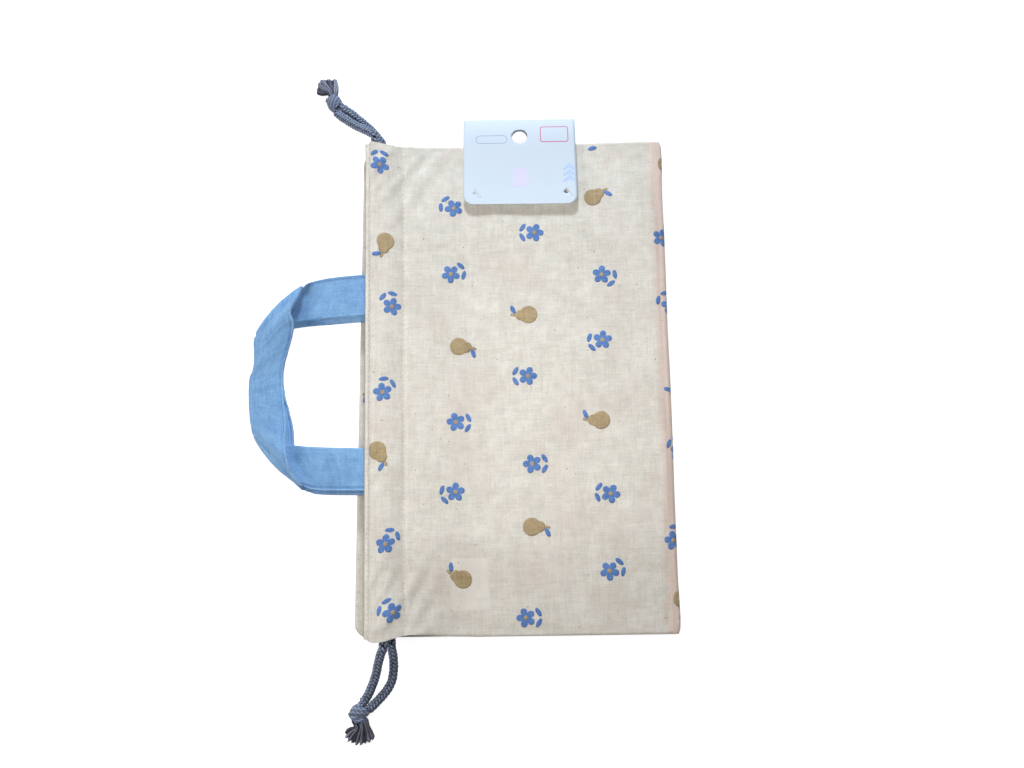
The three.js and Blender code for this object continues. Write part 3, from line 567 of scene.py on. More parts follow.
def panel_grid(panel):
    """A panel as one continuous sheet: turned-in hem, tunnel, neck, upper half, fold, lower half.

    Gives its points, the length along the cloth of each row and the row of the mouth edge."""
    share = column_shares()
    y = share * SIDE_Y
    rows = []

    def row(x, z, half_width=SIDE_Y):
        rows.append(np.stack(np.broadcast_arrays(x, share * half_width, z), axis=-1))

    def upper_row(x, half_width=SIDE_Y):
        row(x, upper_height(x, y, panel) + hem_rise(x, y, panel), half_width)

    hem_radius = (panel.stitch_z - panel.facing_z) * panel.out / 2
    mouth_width = SIDE_Y + edge_drift(MOUTH_X, share)
    for t in np.linspace(0, 1, HEM_ROWS):
        x = mix(HEM_END_X, MOUTH_X + hem_radius, t)
        half_width = mix(FACING_Y, mouth_width, smooth((t - 0.8) / 0.2))
        row(x, panel.facing_z + hem_rise(x, y, panel), half_width)
    for angle in np.linspace(0, math.pi, HEM_TURN_ROWS)[1:-1]:
        z = (panel.facing_z + panel.stitch_z) / 2 - panel.out * hem_radius * math.cos(angle)
        row(MOUTH_X + hem_radius * (1 - math.sin(angle)), z, mouth_width)
    mouth_row = len(rows)
    for offset, height in spline(panel.profile, TUNNEL_ROWS):
        x = MOUTH_X + offset
        z = panel.stitch_z + panel.out * height + hem_rise(x, y, panel)
        row(x, z, SIDE_Y + edge_drift(x, share))
    for x in np.linspace(NECK_START_X + 0.6, NECK_END_X, NECK_ROWS):
        upper_row(x, SIDE_Y + edge_drift(x, share))

    front_radius = (upper_height(FOLD_X, y, front) - LOWER_FRONT_Z) / 2
    waver = 0.35 * ripple(y / 45, y * 0, 3.3) + 0.1 + 0.6 * smooth((np.abs(y) - 110) / 35)
    waver = waver - 0.9 * smooth((np.abs(y) - 146.5) / 3.5)
    fold_centre = FOLD_X - CLOTH / 2 - front_radius + waver
    height = upper_height(FOLD_X, y, panel) - panel.lower_z
    if panel is front:
        fold = [(fold_centre + front_radius - inward, panel.lower_z + height * share_up)
                for inward, share_up in spline(FOLD_SECTION, FRONT_FOLD_ROWS)]
    else:
        fold = [(fold_centre + height / 2 * math.cos(angle),
                 panel.lower_z + height / 2 * (1 + math.sin(angle)))
                for angle in np.linspace(math.pi / 2, -math.pi / 2, BACK_FOLD_ROWS)]
    for t in np.linspace(0, 1, UPPER_ROWS)[1:-1]:
        upper_row(mix(NECK_END_X, fold[0][0], t))
    for x, z in fold:
        row(x, z)

    end = base_x(y)
    even = np.linspace(0, 0.99, LOWER_ROWS)[1:]
    for t in np.concatenate([even, [0.993, 0.996, 0.998, 0.9992, 1]]):
        x = mix(fold[-1][0], end, t)
        distance = np.minimum(x - end, SIDE_Y - np.abs(y))
        row(x, LOWER_SEAM_Z - panel.out * edge_closing(distance) + lift_at(x, y))
    points = np.array(rows)
    length = lengths(points[:, len(share) // 2])
    return points, length - length[mouth_row], mouth_row


def crumple(points, length, seed):
    """How far each point of the cloth stands off its even shape: soft waves, puckers and creases."""
    x, y = points[:, :, 0], points[:, :, 1]
    s = np.broadcast_to(length[:, None], x.shape)
    inside = smooth((SIDE_Y - 1.5 - np.abs(y)) / 7)
    upper = smooth(s / 3) * smooth((185 - s) / 14)
    on_tunnel = smooth((s - 3) / 2.5) * smooth((30 - s) / 5)
    below = smooth((s - 30) / 8) * upper
    waves = 0.9 * ripple(s / 62, y / 75, seed) + 0.5 * ripple(s / 24, y / 34, seed + 1)
    drag = 1.2 * ripple(s / 11, y / 42, seed + 2) * np.exp(-np.maximum(s - 30, 0) / 26)
    fold_creases = 0.5 * ripple(s / 5, y / 60, seed + 3) + 0.25 * ripple(s / 2.4, y / 50, seed + 9)
    fold_creases = fold_creases * smooth((s - 172) / 8) * smooth((204 - s) / 8)
    tunnel_waves = 0.45 * ripple(s / 11, y / 34, seed + 4) + 0.25 * ripple(s / 6, y / 11, seed + 5)
    slant = s + np.where(y > 0, 0.8, -0.6) * (SIDE_Y - np.abs(y))
    corner_folds = 1.7 * ripple(slant / 8, y / 60, seed + 8) * smooth((np.abs(y) - 90) / 40)
    corner_folds = corner_folds * smooth((s - 3) / 5) * smooth((62 - s) / 25)
    pucker = 0.34 * ripple(s / 9, y / 2.6, seed + 6) * np.exp(-((s - HEM_LENGTH) / 3.0) ** 2)
    hem_groove = -0.3 * np.exp(-((s - HEM_LENGTH) / 0.9) ** 2)
    top_pucker = 0.16 * ripple(s / 9, y / 2.6, seed + 7) * np.exp(-((s - 2.6) / 1.5) ** 2)
    total = (waves + drag) * below + tunnel_waves * on_tunnel + corner_folds
    total = total + pucker + hem_groove + top_pucker
    total = np.where(s < 31, np.maximum(total, -0.2), total)
    return (total + fold_creases) * inside * (s > 0)


def label_share(x, y):
    """1 where the name label lies inside the pouch, where the cloth over it looks paler."""
    inside_x = np.minimum(x - label_box[0][0], label_box[1][0] - x)
    inside_y = np.minimum(y - label_box[0][1], label_box[1][1] - y)
    return smooth(inside_x + 0.5) * smooth(inside_y + 0.5)


def cloth_normals(points, mouth_row, out):
    """Which way a panel's grid faces outwards. out is the sign of that on the pouch's upper half."""
    normals = unit(np.cross(np.gradient(points, axis=0), np.gradient(points, axis=1)))
    return normals * np.sign(normals[mouth_row + 70, 90, 2]) * out


def make_panel(panel):
    """Makes a panel's cloth, and keeps what cloth_point needs to lay things on it."""
    points, length, mouth_row = panel_grid(panel)
    stand = crumple(points, length, panel.seed)[:, :, None]
    points = points + cloth_normals(points, mouth_row, panel.out) * stand
    points[:, :, 2] = np.maximum(points[:, :, 2], CLOTH / 2)
    x, y = points[:, :, 0], points[:, :, 1]
    upper = smooth((length - 20) / 10) * smooth((180 - length) / 10)
    behind = upper[:, None] * label_share(x, y) * (panel is front)
    # Painted warm shade on the side of the pouch's fold, passed as a third weave number below 0
    folded = smooth((x - (FOLD_X - 10.5)) / 7.0)
    weave = np.stack(np.broadcast_arrays(length[:, None], y, behind - folded), axis=2)
    obj = new_object(panel.name + "_cloth", points, cotton, "pouch", weave=weave, thickness=CLOTH)
    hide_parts(panel.name + "_panel", panel.name + "_casing_facing")
    panel.points, panel.length, panel.mouth_row = points, length, mouth_row
    panel.normals = cloth_normals(points, mouth_row, panel.out)


def cloth_point(panel, s, share, stand_off):
    """A point at a length along the cloth and a share of its half width, just off its outer face."""
    rows = np.interp(s, panel.length, np.arange(len(panel.length)))
    shares = column_shares()
    columns = np.interp(share, shares, np.arange(len(shares)))
    i = np.clip(np.floor(rows).astype(int), 0, len(panel.length) - 2)
    j = np.clip(np.floor(columns).astype(int), 0, len(shares) - 2)
    u, v = (rows - i)[..., None], (columns - j)[..., None]

    def sample(grid):
        near = mix(grid[i, j], grid[i, j + 1], v)
        return mix(near, mix(grid[i + 1, j], grid[i + 1, j + 1], v), u)
    return sample(panel.points) + unit(sample(panel.normals)) * (CLOTH / 2 + stand_off)


make_panel(front)
make_panel(back)


# The print: tan pears and blue five-petal flowers, with small blue leaves

PRINT_ROWS = 9
PRINT_COLUMNS = 7
ROW_PITCH = 43.5
COLUMN_PITCH = 45.0
INK_LIFT = 0.05
INK_THICKNESS = 0.06


def rotation(angle):
    return np.array([[math.cos(angle), -math.sin(angle)], [math.sin(angle), math.cos(angle)]])


class Print:
    """Collects flat printed shapes that lie on the cloth."""

    def __init__(self, panel):
        self.panel = panel
        self.points = []
        self.weave = []
        self.faces = []
        self.count = 0

    def blob(self, place, turn, centre, radius_at, angle=0.0, sides=40, rings=5, layer=0):
        """A round shape whose radius depends on the angle, placed in a motif.

        It is left out where it would run over the pouch's edges or under its hem."""
        around = np.arange(sides) * 2 * math.pi / sides
        outline = np.stack([np.cos(around), np.sin(around)], axis=1) * [[radius_at(a)] for a in around]
        local = np.concatenate([[(0.0, 0.0)]] + [outline * ring / rings for ring in range(1, rings + 1)])
        flat = (local @ rotation(angle).T + np.array(centre)) @ rotation(turn).T + np.array(place)
        s, share = flat[:, 0], flat[:, 1] / SIDE_Y
        over_edge = np.abs(share).max() > 0.994 or s.max() > self.panel.length[-1] - 1
        if over_edge or (s.min() < 3.4 and s.max() > -6):
            return
        self.points.append(cloth_point(self.panel, s, share, INK_LIFT * (1 + layer)))
        self.weave.append(np.pad(flat, ((0, 0), (0, 1))))
        first = self.count + 1
        self.faces += [(self.count, first + (k + 1) % sides, first + k) for k in range(sides)]
        self.faces += grid_faces(rings, sides, first, closed=True)
        self.count += len(flat)

    def make(self, name, material):
        new_object(name, np.concatenate(self.points), material, "pouch", self.faces,
                   np.concatenate(self.weave), thickness=INK_THICKNESS)


def pear_radius(angle):
    """A round bulb and a smaller round top, as one outline about the middle of the bulb."""
    bulb, top, rise = 5.4, 3.1, 4.9
    across, up = math.cos(angle), math.sin(angle)
    under_root = top**2 - (rise * across) ** 2
    reach = rise * up + math.sqrt(under_root) if under_root > 0 and up > 0 else 0.0
    return (bulb**8 + reach**8) ** 0.125


def flower_radius(angle):
    return 5.7 * (0.5 + 0.5 * abs(math.cos(2.5 * angle)) ** 0.7)


def leaf_radius(angle):
    long_half, short_half = 2.9, 1.35
    return long_half * short_half / math.hypot(short_half * math.cos(angle), long_half * math.sin(angle))


def print_pear(tan, blue, place, turn):
    tan.blob(place, turn, (0, -2.2), pear_radius, sides=56, rings=6)
    tan.blob(place, turn, (0.3, 7.3), lambda a: 0.6 + 0.9 * abs(math.sin(a)), angle=-0.3, sides=16, rings=2)
    blue.blob(place, turn, (3.4, 7.1), leaf_radius, angle=0.45, sides=28, rings=3)


def print_flower(tan, blue, place, turn):
    blue.blob(place, turn, (0, 1.8), flower_radius, angle=math.pi / 2, sides=80, rings=6)
    tan.blob(place, turn, (0, 1.8), lambda a: 1.3, sides=18, rings=2, layer=1)
    for side in (1, -1):
        blue.blob(place, turn, (3.1 * side, -5.6), leaf_radius, angle=side * 0.55, sides=28, rings=3)


def print_cloth(panel, first):
    tan, blue = Print(panel), Print(panel)
    for i in range(PRINT_ROWS):
        for j in range(PRINT_COLUMNS):
            s = 16.5 + ROW_PITCH * i + 3.5 * math.sin(2.1 * i + 1.7 * j + first)
            y = -136 + COLUMN_PITCH * (j + i % 2 / 2) + 4 * math.cos(1.3 * i + 2.9 * j + first)
            turn = 1.5 * math.pi * math.sin(1.9 * i + 3.1 * j + first)
            draw = print_pear if (i + 2 * j) % 3 == first % 3 else print_flower
            draw(tan, blue, (s, y), turn)
    tan.make(panel.name + "_tan_print", tan_print)
    blue.make(panel.name + "_blue_print", blue_print)


print_cloth(front, 1)
print_cloth(back, 2)


# Stitching on the cloth

STITCH_PITCH = 3.1
STITCH_GAP = 0.9
STITCH_END_Y = 147.5


def stitch_line(stitches, holes, panel, s):
    """Stitches across the cloth at a length along it, and between them dark rods sunk in the needle holes,
    their colour a painted shade.
    """
    def rod(pile, start, end, stand_off, radius):
        ends = cloth_point(panel, np.array([s, s]), np.array([start, end]) / SIDE_Y, stand_off)
        pile.add(capsule_rings(*ends, radius))
    y = -STITCH_END_Y
    while y < STITCH_END_Y:
        hole = y + STITCH_PITCH - STITCH_GAP / 2
        rod(stitches, y, y + STITCH_PITCH - STITCH_GAP, 0.0, 0.24)
        # Dark rod sunk in the needle hole: painted shade
        rod(holes, hole - 0.4, hole + 0.4, -0.14, 0.26)
        y += STITCH_PITCH


def hem_stitches(panel):
    stitches, holes = Pile(), Pile()
    tunnel = slice(panel.mouth_row, panel.mouth_row + TUNNEL_ROWS)
    rows_x = panel.points[tunnel, len(column_shares()) // 2, 0]
    for x in (TOP_STITCH_X, HEM_X):
        stitch_line(stitches, holes, panel, float(np.interp(x, rows_x, panel.length[tunnel])))
    stitches.make(panel.name + "_hem_stitches", stitch_thread, "pouch", "cotton")
    holes.make(panel.name + "_hem_stitches_holes", needle_hole_shade, "pouch", "cotton")


hem_stitches(front)
hem_stitches(back)


# Seam allowances and the name label inside the pouch

STRIP_THICKNESS = 0.8
OVERLOCK_STEP = 1.6
OVERLOCK_LIFT = 0.35
OVERLOCK_RADIUS = 0.16
LABEL_THICKNESS = 0.4
LABEL_LIFT = 0.75


def seam_allowance(name, thread_name, node, inner, outer):
    """A seam's raw edges as one strip between two lines, and the zigzag thread that binds them."""
    inner, outer = np.array(inner), np.array(outer)
    points = mix(inner[:, None], outer[:, None], np.linspace(0, 1, 5)[:, None])
    length = lengths(inner)
    weave = np.stack(np.broadcast_arrays(length[:, None], points[:, :, 1], 0.0), axis=2)
    obj = new_object(name, points, seam_cotton, "pouch", weave=weave,
                     thickness=STRIP_THICKNESS)
    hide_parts(node)
    path = []
    for k, at in enumerate(np.arange(0, length[-1], OVERLOCK_STEP)):
        point = at_length(inner if k % 2 else mix(inner, outer, 0.45), length, at)
        point[2] += OVERLOCK_LIFT if k % 2 else -OVERLOCK_LIFT
        path.append(point)
    thread = Pile()
    thread.add(tube_rings(path, OVERLOCK_RADIUS, 5))
    thread.make(thread_name, seam_thread, "pouch", "cotton_seam")


def side_line(side, inset):
    """A line along a side seam: down the neck and the upper half, round the fold and back."""
    y = side * (SIDE_Y - inset)
    radius = (SEAM_MIDDLE_Z - LOWER_SEAM_Z) / 2
    front_radius = (SEAM_MIDDLE_Z + PAIR_SPACING / 2 - LOWER_FRONT_Z) / 2
    centre = FOLD_X - CLOTH / 2 - front_radius - 1.6
    upper = [(x, y + side * float(edge_drift(x, side)), float(seam_height(x)))
             for x in np.linspace(NECK_START_X + 15, centre, 70)]
    turn = [(centre + radius * math.cos(angle), y, LOWER_SEAM_Z + radius * (1 + math.sin(angle)))
            for angle in np.linspace(math.pi / 2, -math.pi / 2, 12)[1:-1]]
    lower = [(x, y, float(LOWER_SEAM_Z + lift_at(x, y))) for x in np.linspace(centre, MOUTH_X + 6, 90)]
    return upper + turn + lower


def base_line(inset):
    """A line along the seam at the pouch's lower edge."""
    return [(MOUTH_X - BASE_OVERHANG + BASE_SKEW * y + inset, y, LOWER_SEAM_Z)
            for y in np.linspace(-143, 143, 120)]


def make_label():
    grid_x, grid_y = np.meshgrid(np.linspace(label_box[0][0], label_box[1][0], 16),
                                 np.linspace(label_box[0][1], label_box[1][1], 20), indexing="ij")
    height = upper_height(grid_x, grid_y, back) + CLOTH / 2 + LABEL_LIFT
    points = np.stack([grid_x, grid_y, height], axis=2)
    obj = new_object("inner_label", points, label_tape, "pouch", weave=points,
                     thickness=LABEL_THICKNESS)
    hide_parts("name_label")


for letter, side in (("a", 1), ("b", -1)):
    seam_allowance(f"seam_allowance_{letter}", f"seam_overlock_{letter}", f"side_seam_{letter}",
                   side_line(side, 6.6), side_line(side, 0.6))
seam_allowance("base_allowance", "base_overlock", "base_seam", base_line(7.4), base_line(1.6))
make_label()


# Handles

TAPE_WIDTH = 25.0
TAPE_HALF = 0.8
TAPE_ROWS = 420
TAPE_SEWN = 58.0
TAPE_ROLL = 5.0
TAPE_STITCH_PITCH = 3.0
TAPE_STITCH = 2.1
TAPE_STITCH_COLUMNS = (7, -8, 16, -17)

# The edges of the front handle's legs, from the mouth outwards, seen from above
LEG_A_OUTER = [(-72, 67.4), (-82, 67.5), (-91.7, 67.7), (-98, 67.8), (-106, 67.8), (-114, 67.7),
               (-120.5, 67.2), (-126.0, 66.0), (-129.7, 64.3)]
LEG_A_INNER = [(-72, 42.1), (-82, 42.1), (-91.6, 42.0), (-99, 41.9), (-108, 41.8), (-119, 41.7),
               (-131, 41.0), (-143, 39.4), (-154, 37.0)]
LEG_B_OUTER = [(-72, -64.1), (-82, -64.1), (-91.2, -64.1), (-98, -64.1), (-106, -63.9), (-114, -63.6),
               (-120.6, -63.2), (-125.4, -62.6), (-128.6, -61.4)]
LEG_B_INNER = [(-72, -39.0), (-82, -39.0), (-91.3, -38.9), (-99, -38.4), (-108, -37.9), (-119, -37.2),
               (-131, -36.2), (-143, -34.6), (-154, -32.4)]
# At the same places: share of the way from the mouth's height down to the table, and lift of the outer edge
LEG_SHARES = [0, 0, 0, 0.12, 0.32, 0.58, 0.82, 0.96, 1]
LEG_LIFT = [0, 0, 0, 0, 0, 0, 0.6, 2.2, 4.2]
LEG_PLACES = range(len(LEG_SHARES))

# The band between the two folded corners
BAND_INNER = [(-133.6, 56.6), (-136.6, 50.5), (-138.2, 45.0), (-136.8, 40.2), (-137.4, 33.5),
              (-139.6, 26.0), (-143.2, 16.0), (-144.2, 7.0), (-143.8, -4.0), (-142.4, -14.0),
              (-141.0, -24.0), (-140.8, -33.0), (-139.8, -42.0), (-137.0, -52.0)]
BAND_OUTER = [(-162.7, 30.4), (-162.9, 28.0), (-162.8, 25.0), (-162.6, 21.0), (-162.5, 16.5),
              (-163.2, 11.5), (-165.0, 6.5), (-165.5, 0.5), (-165.3, -6.0), (-165.0, -12.0),
              (-164.5, -17.5), (-163.9, -21.5), (-163.2, -24.6), (-162.6, -27.0)]
BAND_INNER_RISE = [8.4, 10.2, 10.4, 8.6, 6.4, 4.6, 3.4, 3.0, 3.4, 4.4, 6.0, 8.0, 9.6, 8.8]
BACK_BAND_INNER = [(-134.6, 55.5), (-137.4, 48.5), (-139.4, 42.0), (-139.6, 37.5), (-141.0, 31.0),
                   (-142.6, 24.0), (-144.9, 15.0), (-145.6, 6.0), (-143.9, -5.5), (-141.0, -15.5),
                   (-139.0, -24.5), (-138.3, -33.0), (-138.0, -42.0), (-135.8, -51.5)]

# The tape's turn over a folded corner: its angles, and how far out it goes at the crease's two ends
CREASE_TURN = np.radians([-60, -25, 10, 45, 75])
CREASE_REACH = (0.12, 0.5)

# What differs between the two handles. creases run from their near end to their far end, and bulges say how
# far the tape's middle bulges there. hinge is where the loop swings, in metres.
HANDLES = {
    "front": SimpleNamespace(mouth_z=13.8, table_z=4.75, lift=1.0, shift=0.0, rise=1.0, outer_rise=2.0,
                             band_inner=BAND_INNER, band_reach=0.0, bulges=(2.9, 3.2), seed=5.0,
                             creases=(((-132.0, 62.2), (-162.0, 33.6)), ((-130.8, -60.4), (-162.0, -28.8))),
                             rolled=False, hinge=(0.0016, 0.0138)),
    "back": SimpleNamespace(mouth_z=11.7, table_z=0.9, lift=0.0, shift=-2.2, rise=0.55, outer_rise=1.9,
                            band_inner=BACK_BAND_INNER, band_reach=0.2, bulges=(2.9, 1.4), seed=9.0,
                            creases=(((-134.4, 62.6), (-162.6, 34.6)), ((-132.0, -62.4), (-161.2, -28.6))),
                            rolled=True, hinge=(-0.0006, 0.0117)),
}


def tape_section():
    """Across the tape and through it: two free layers on its first edge and a fold on the other."""
    w = TAPE_WIDTH
    top = [(0.9, 0.06), (0.25, 0.14), (0.0, 0.5), (0.15, 1.05), (0.6, 1.3), (1.0, 1.1), (1.2, 0.06),
           (2.1, 0.06), (2.35, 1.05), (2.8, 1.16), (3.6, 1.1), (9, 1.1), (14, 1.1), (19, 1.1),
           (w - 3.2, 1.08), (w - 2.5, 0.8), (w - 2.0, 0.8), (w - 1.2, 1.04), (w - 0.35, 0.8), (w, 0.25)]
    upper = [(u / w, v * TAPE_HALF) for u, v in top]
    return np.array([(1.5 / w, 0.0)] + upper + [(u, -v) for u, v in reversed(upper)]).T


def crease_pairs(crease, heights, rises):
    """The round turn over a crease, as pairs of points from the lower layer to the upper one."""
    crease = np.array(crease)
    along = unit(crease[1] - crease[0])
    outward = np.array([along[1], -along[0]]) * -np.sign(along[1])
    pairs = []
    for angle in CREASE_TURN:
        ends = []
        for place, height, rise, reach in zip(crease, heights, rises, CREASE_REACH):
            x, y = place + outward * (math.cos(angle) - 1) * rise * reach
            ends.append((x, y, height + (1 + math.sin(angle)) * rise / 2))
        pairs.append(ends)
    return pairs, outward


def handle_edges(handle):
    """The two edges of a handle's tape from one sewn end to the other, and how far its middle bulges."""
    first, second, bulge = [], [], []

    def leg(outer, inner, order, hollow):
        for k in order:
            height = mix(handle.mouth_z, handle.table_z, LEG_SHARES[k])
            lift = LEG_LIFT[k] * handle.lift
            first.append((outer[k][0], outer[k][1] + handle.shift, height + lift))
            second.append((inner[k][0], inner[k][1] + handle.shift, height))
            bulge.append((0, 0, hollow * lift))

    def corner(k, order):
        heights = (handle.table_z + LEG_LIFT[-1] * handle.lift, handle.table_z)
        rises = (2.6 * handle.rise + 0.4, handle.outer_rise)
        pairs, outward = crease_pairs(handle.creases[k], heights, rises)
        for near, far in pairs[::order]:
            first.append(near)
            second.append(far)
            bulge.append((*(outward * handle.bulges[k]), 0))

    leg(LEG_A_OUTER, LEG_A_INNER, LEG_PLACES, -0.5)
    corner(0, 1)
    for (ax, ay), (bx, by), rise in zip(handle.band_inner, BAND_OUTER, BAND_INNER_RISE):
        first.append((ax, ay, handle.table_z + rise * handle.rise))
        second.append((bx - handle.band_reach, by, handle.table_z + handle.outer_rise))
        bulge.append((0, 0, 0))
    corner(1, -1)
    leg(LEG_B_OUTER, LEG_B_INNER, reversed(LEG_PLACES), 0.2)
    return np.array(first), np.array(second), np.array(bulge, float)


def rolled_under(points, edges, u):
    """Rolls both edges of the tape down towards the table, as far as there is room."""
    for edge, share in zip(edges, (u, 1 - u)):
        room = np.clip(edge[:, 2] - TAPE_HALF * 1.2, 0, TAPE_ROLL)
        points[:, :, 2] -= room[:, None] * np.clip(1 - share * TAPE_WIDTH / TAPE_ROLL, 0, 1) ** 1.2
    return points


def handle_surface(handle):
    """The tape's points, row by row along it, and each row's length along it."""
    edges = handle_edges(handle)
    chord = (lengths(edges[0]) + lengths(edges[1])) / 2
    at = np.linspace(0, chord[-1], TAPE_ROWS)
    a, b, bulge = [curve(edge, chord, at) for edge in edges]
    normal = unit(np.cross(np.gradient((a + b) / 2, axis=0), b - a))
    normal = unit(np.stack([np.convolve(np.pad(axis, 3, mode="edge"), np.ones(7) / 7, mode="valid")
                            for axis in normal.T], axis=1))
    level = np.abs(normal[:, 2:])
    u, v = tape_section()
    plain = TAPE_HALF * np.sign(v) * np.sqrt(np.clip(np.minimum(u, 1 - u) * TAPE_WIDTH / 0.6, 0, 1))
    through = mix(plain, v, smooth((level - 0.4) / 0.4))
    s = at[:, None]
    seed = handle.seed
    crinkle = 0.22 * ripple(s / 13, u * 2.2, seed) + 0.1 * ripple(s / 3.6, u * 5, seed + 1)
    free = smooth((np.minimum(s, at[-1] - s) - TAPE_SEWN) / 12)
    near_first = np.clip(1 - u * 2.6, 0, 1) ** 1.5
    crinkle = crinkle + free * near_first * 0.8 * ripple(s / 4.2, u * 1.2, seed + 2)
    through = through + crinkle * smooth((level - 0.75) / 0.2)
    share = u[:, None]
    points = (mix(a[:, None], b[:, None], share) + bulge[:, None] * 4 * share * (1 - share)
              + normal[:, None] * through[:, :, None])
    return (rolled_under(points, (a, b), u) if handle.rolled else points), at


def make_handle(name):
    handle = HANDLES[name]
    points, at = handle_surface(handle)
    across = tape_section()[0] * TAPE_WIDTH
    # The third weave number paints the tape's first edge paler: a painted highlight where its free layers
    # catch the light
    weave = np.stack(np.broadcast_arrays(at[:, None], across, 0.4 * smooth(1.4 - across)), axis=2)
    obj = new_object(name + "_handle_tape", points, blue_tape, None,
                     ring_faces(*points.shape[:2]), weave)
    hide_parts(name + "_handle_loop", name + "_handle_end_a", name + "_handle_end_b")
    pile = Pile()
    for column in TAPE_STITCH_COLUMNS:
        for start in np.arange(4.0, at[-1] - 4, TAPE_STITCH_PITCH):
            ends = at_length(points[:, column], at, np.array([start, start + TAPE_STITCH]))
            pile.add(capsule_rings(*ends, 0.2, 5))
    stitches = pile.make(name + "_handle_stitches", blue_thread, None, "handle_cloth")
    for piece in (obj, stitches):
        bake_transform(piece)


make_handle("front")
make_handle("back")


# Cords. Each place beside the pouch is given as x, the distance outwards from the tunnel's end, and z.

CORD = 5.2
CORE_SHARE = 0.76
TAIL_START = 0.4
CORD_FRONT_Z = FRONT_FACING_Z + CLOTH / 2 + GAP + CORD / 2
CORD_BACK_Z = BACK_FACING_Z - CLOTH / 2 - GAP - CORD / 2
CORD_SIDE = {"a": 1, "b": -1}
CORD_X = {"a": (-85.9, -83.4), "b": (-80.4, -77.6)}
TAIL_ROUTES = {
    "a": ([(-88.8, 4.2, 17.2), (-93.4, 7.4, 14.8), (-99, 11.2, 12), (-104.6, 15.6, 9.2), (-109.4, 19.8, 7)],
          [(-86.1, 6, 6.9), (-90.1, 11.3, 6.7), (-94.7, 15.8, 6.5), (-99, 19.5, 6.4), (-103.6, 23.3, 6.2)]),
    "b": ([(-82, 5, 17.3), (-83.8, 10.4, 15.2), (-85.9, 18, 12.3), (-88.8, 25, 9.6), (-91.4, 29.9, 7.6)],
          [(-76.9, 5, 6.9), (-76.2, 10.5, 6.8), (-76.3, 16, 6.6), (-77.4, 21.9, 6.5), (-80, 26.6, 6.3),
           (-84.2, 31.4, 6.1)]),
}
# How far the middle of cord a's front and back strand moves sideways on the table
STRAND_SIDLE = {"a": (-0.3, 0.8), "b": (0, 0)}
KNOTS = {
    "a": {"centre": (-114.3, 29.7, 6.0), "strands": (-0.62, 0.785), "ends": (-0.44, 0.9)},
    "b": {"centre": (-97.1, 39.6, 6.0), "strands": (-0.75, -0.66), "ends": (0.02, -1.0)},
}
KNOT_LENGTH = 11.5
KNOT_REACH = 4.5
KNOT_STRAND = 2.4
BIGHT_SHIFT = 2.8
BRAID_YARNS = 6
BRAID_PITCH = 13.0

# Turns of the cord round each knot: where along it, how far they lean, and their yarns side by side
KNOT_TURNS = {
    "a": [{"along": -0.4, "lean": 0.9, "yarns": 9, "radius": 0.52, "start": -120}],
    "b": [{"along": -1.6, "lean": 1.5, "yarns": 6, "radius": 0.66, "start": -110},
          {"along": 3.0, "lean": -1.3, "yarns": 4, "radius": 0.62, "start": -60, "line": "ends"}],
}

# The frayed ends in plan: where they leave the knot, an optional neck, and the line of their tips
FRAYED = {
    "a": {"root": [(-118.2, 188.4), (-112.4, 188.6)], "neck": 0.0, "bundles": 6, "depth": 0.2, "seed": 11,
          "tips": [(-127.0, 191.2), (-126.2, 195.0), (-125.0, 199.6), (-119.8, 201.0), (-113.6, 200.4),
                   (-112.8, 195.0)]},
    "b": {"root": [(-100.2, -196.4), (-92.2, -196.2)], "neck": 3.6, "bundles": 9, "depth": 1.0, "seed": 12,
          "tips": [(-105.6, -203.0), (-105.2, -207.4), (-102.0, -210.6), (-98.6, -211.2), (-94.4, -211.2),
                   (-90.6, -209.8), (-87.8, -207.4)]},
}
FRAYED_YARNS = 230
FRAYED_STEPS = 11


def beside(letter, point):
    """A place in the object from a place beside the pouch."""
    x, out, z = point
    return np.array([x, CORD_SIDE[letter] * (TUNNEL_Y + out), z])


def knot_point(letter, along, across, up, line="strands"):
    """A point of a knot: along its strands or its frayed ends, across them on the table, and up."""
    ux, uy = KNOTS[letter][line]
    offset = np.array([ux * along + uy * across, uy * along - ux * across, up])
    return beside(letter, KNOTS[letter]["centre"]) + offset


def strand_place(letter, is_front):
    """Where a cord lies in its tunnel, as x and z."""
    return (CORD_X[letter][0], CORD_FRONT_Z) if is_front else (CORD_X[letter][1], CORD_BACK_Z)


def tail_path(letter, is_front):
    """The middle line of a strand from the tunnel's end to the knot."""
    x, z = strand_place(letter, is_front)
    across = CORD_SIDE[letter] * (-1 if is_front else 1) * (CORD + GAP) / 2
    nearest = KNOT_LENGTH / 2 + GAP
    lead = [(x, TAIL_START, z), (x, TAIL_START + 0.8, z)]
    route = [beside(letter, point) for point in lead + TAIL_ROUTES[letter][0 if is_front else 1]]
    into_knot = [knot_point(letter, -distance, across, 0) for distance in (nearest + 0.8, nearest)]
    path = spline(route + into_knot, 60)
    along = np.gradient(path, axis=0)
    aside = unit(np.stack([-along[:, 1], along[:, 0], along[:, 0] * 0], axis=1))
    reach = STRAND_SIDLE[letter][0 if is_front else 1] * np.sin(np.linspace(0, math.pi, len(path))) ** 0.7
    return path + aside * reach[:, None]


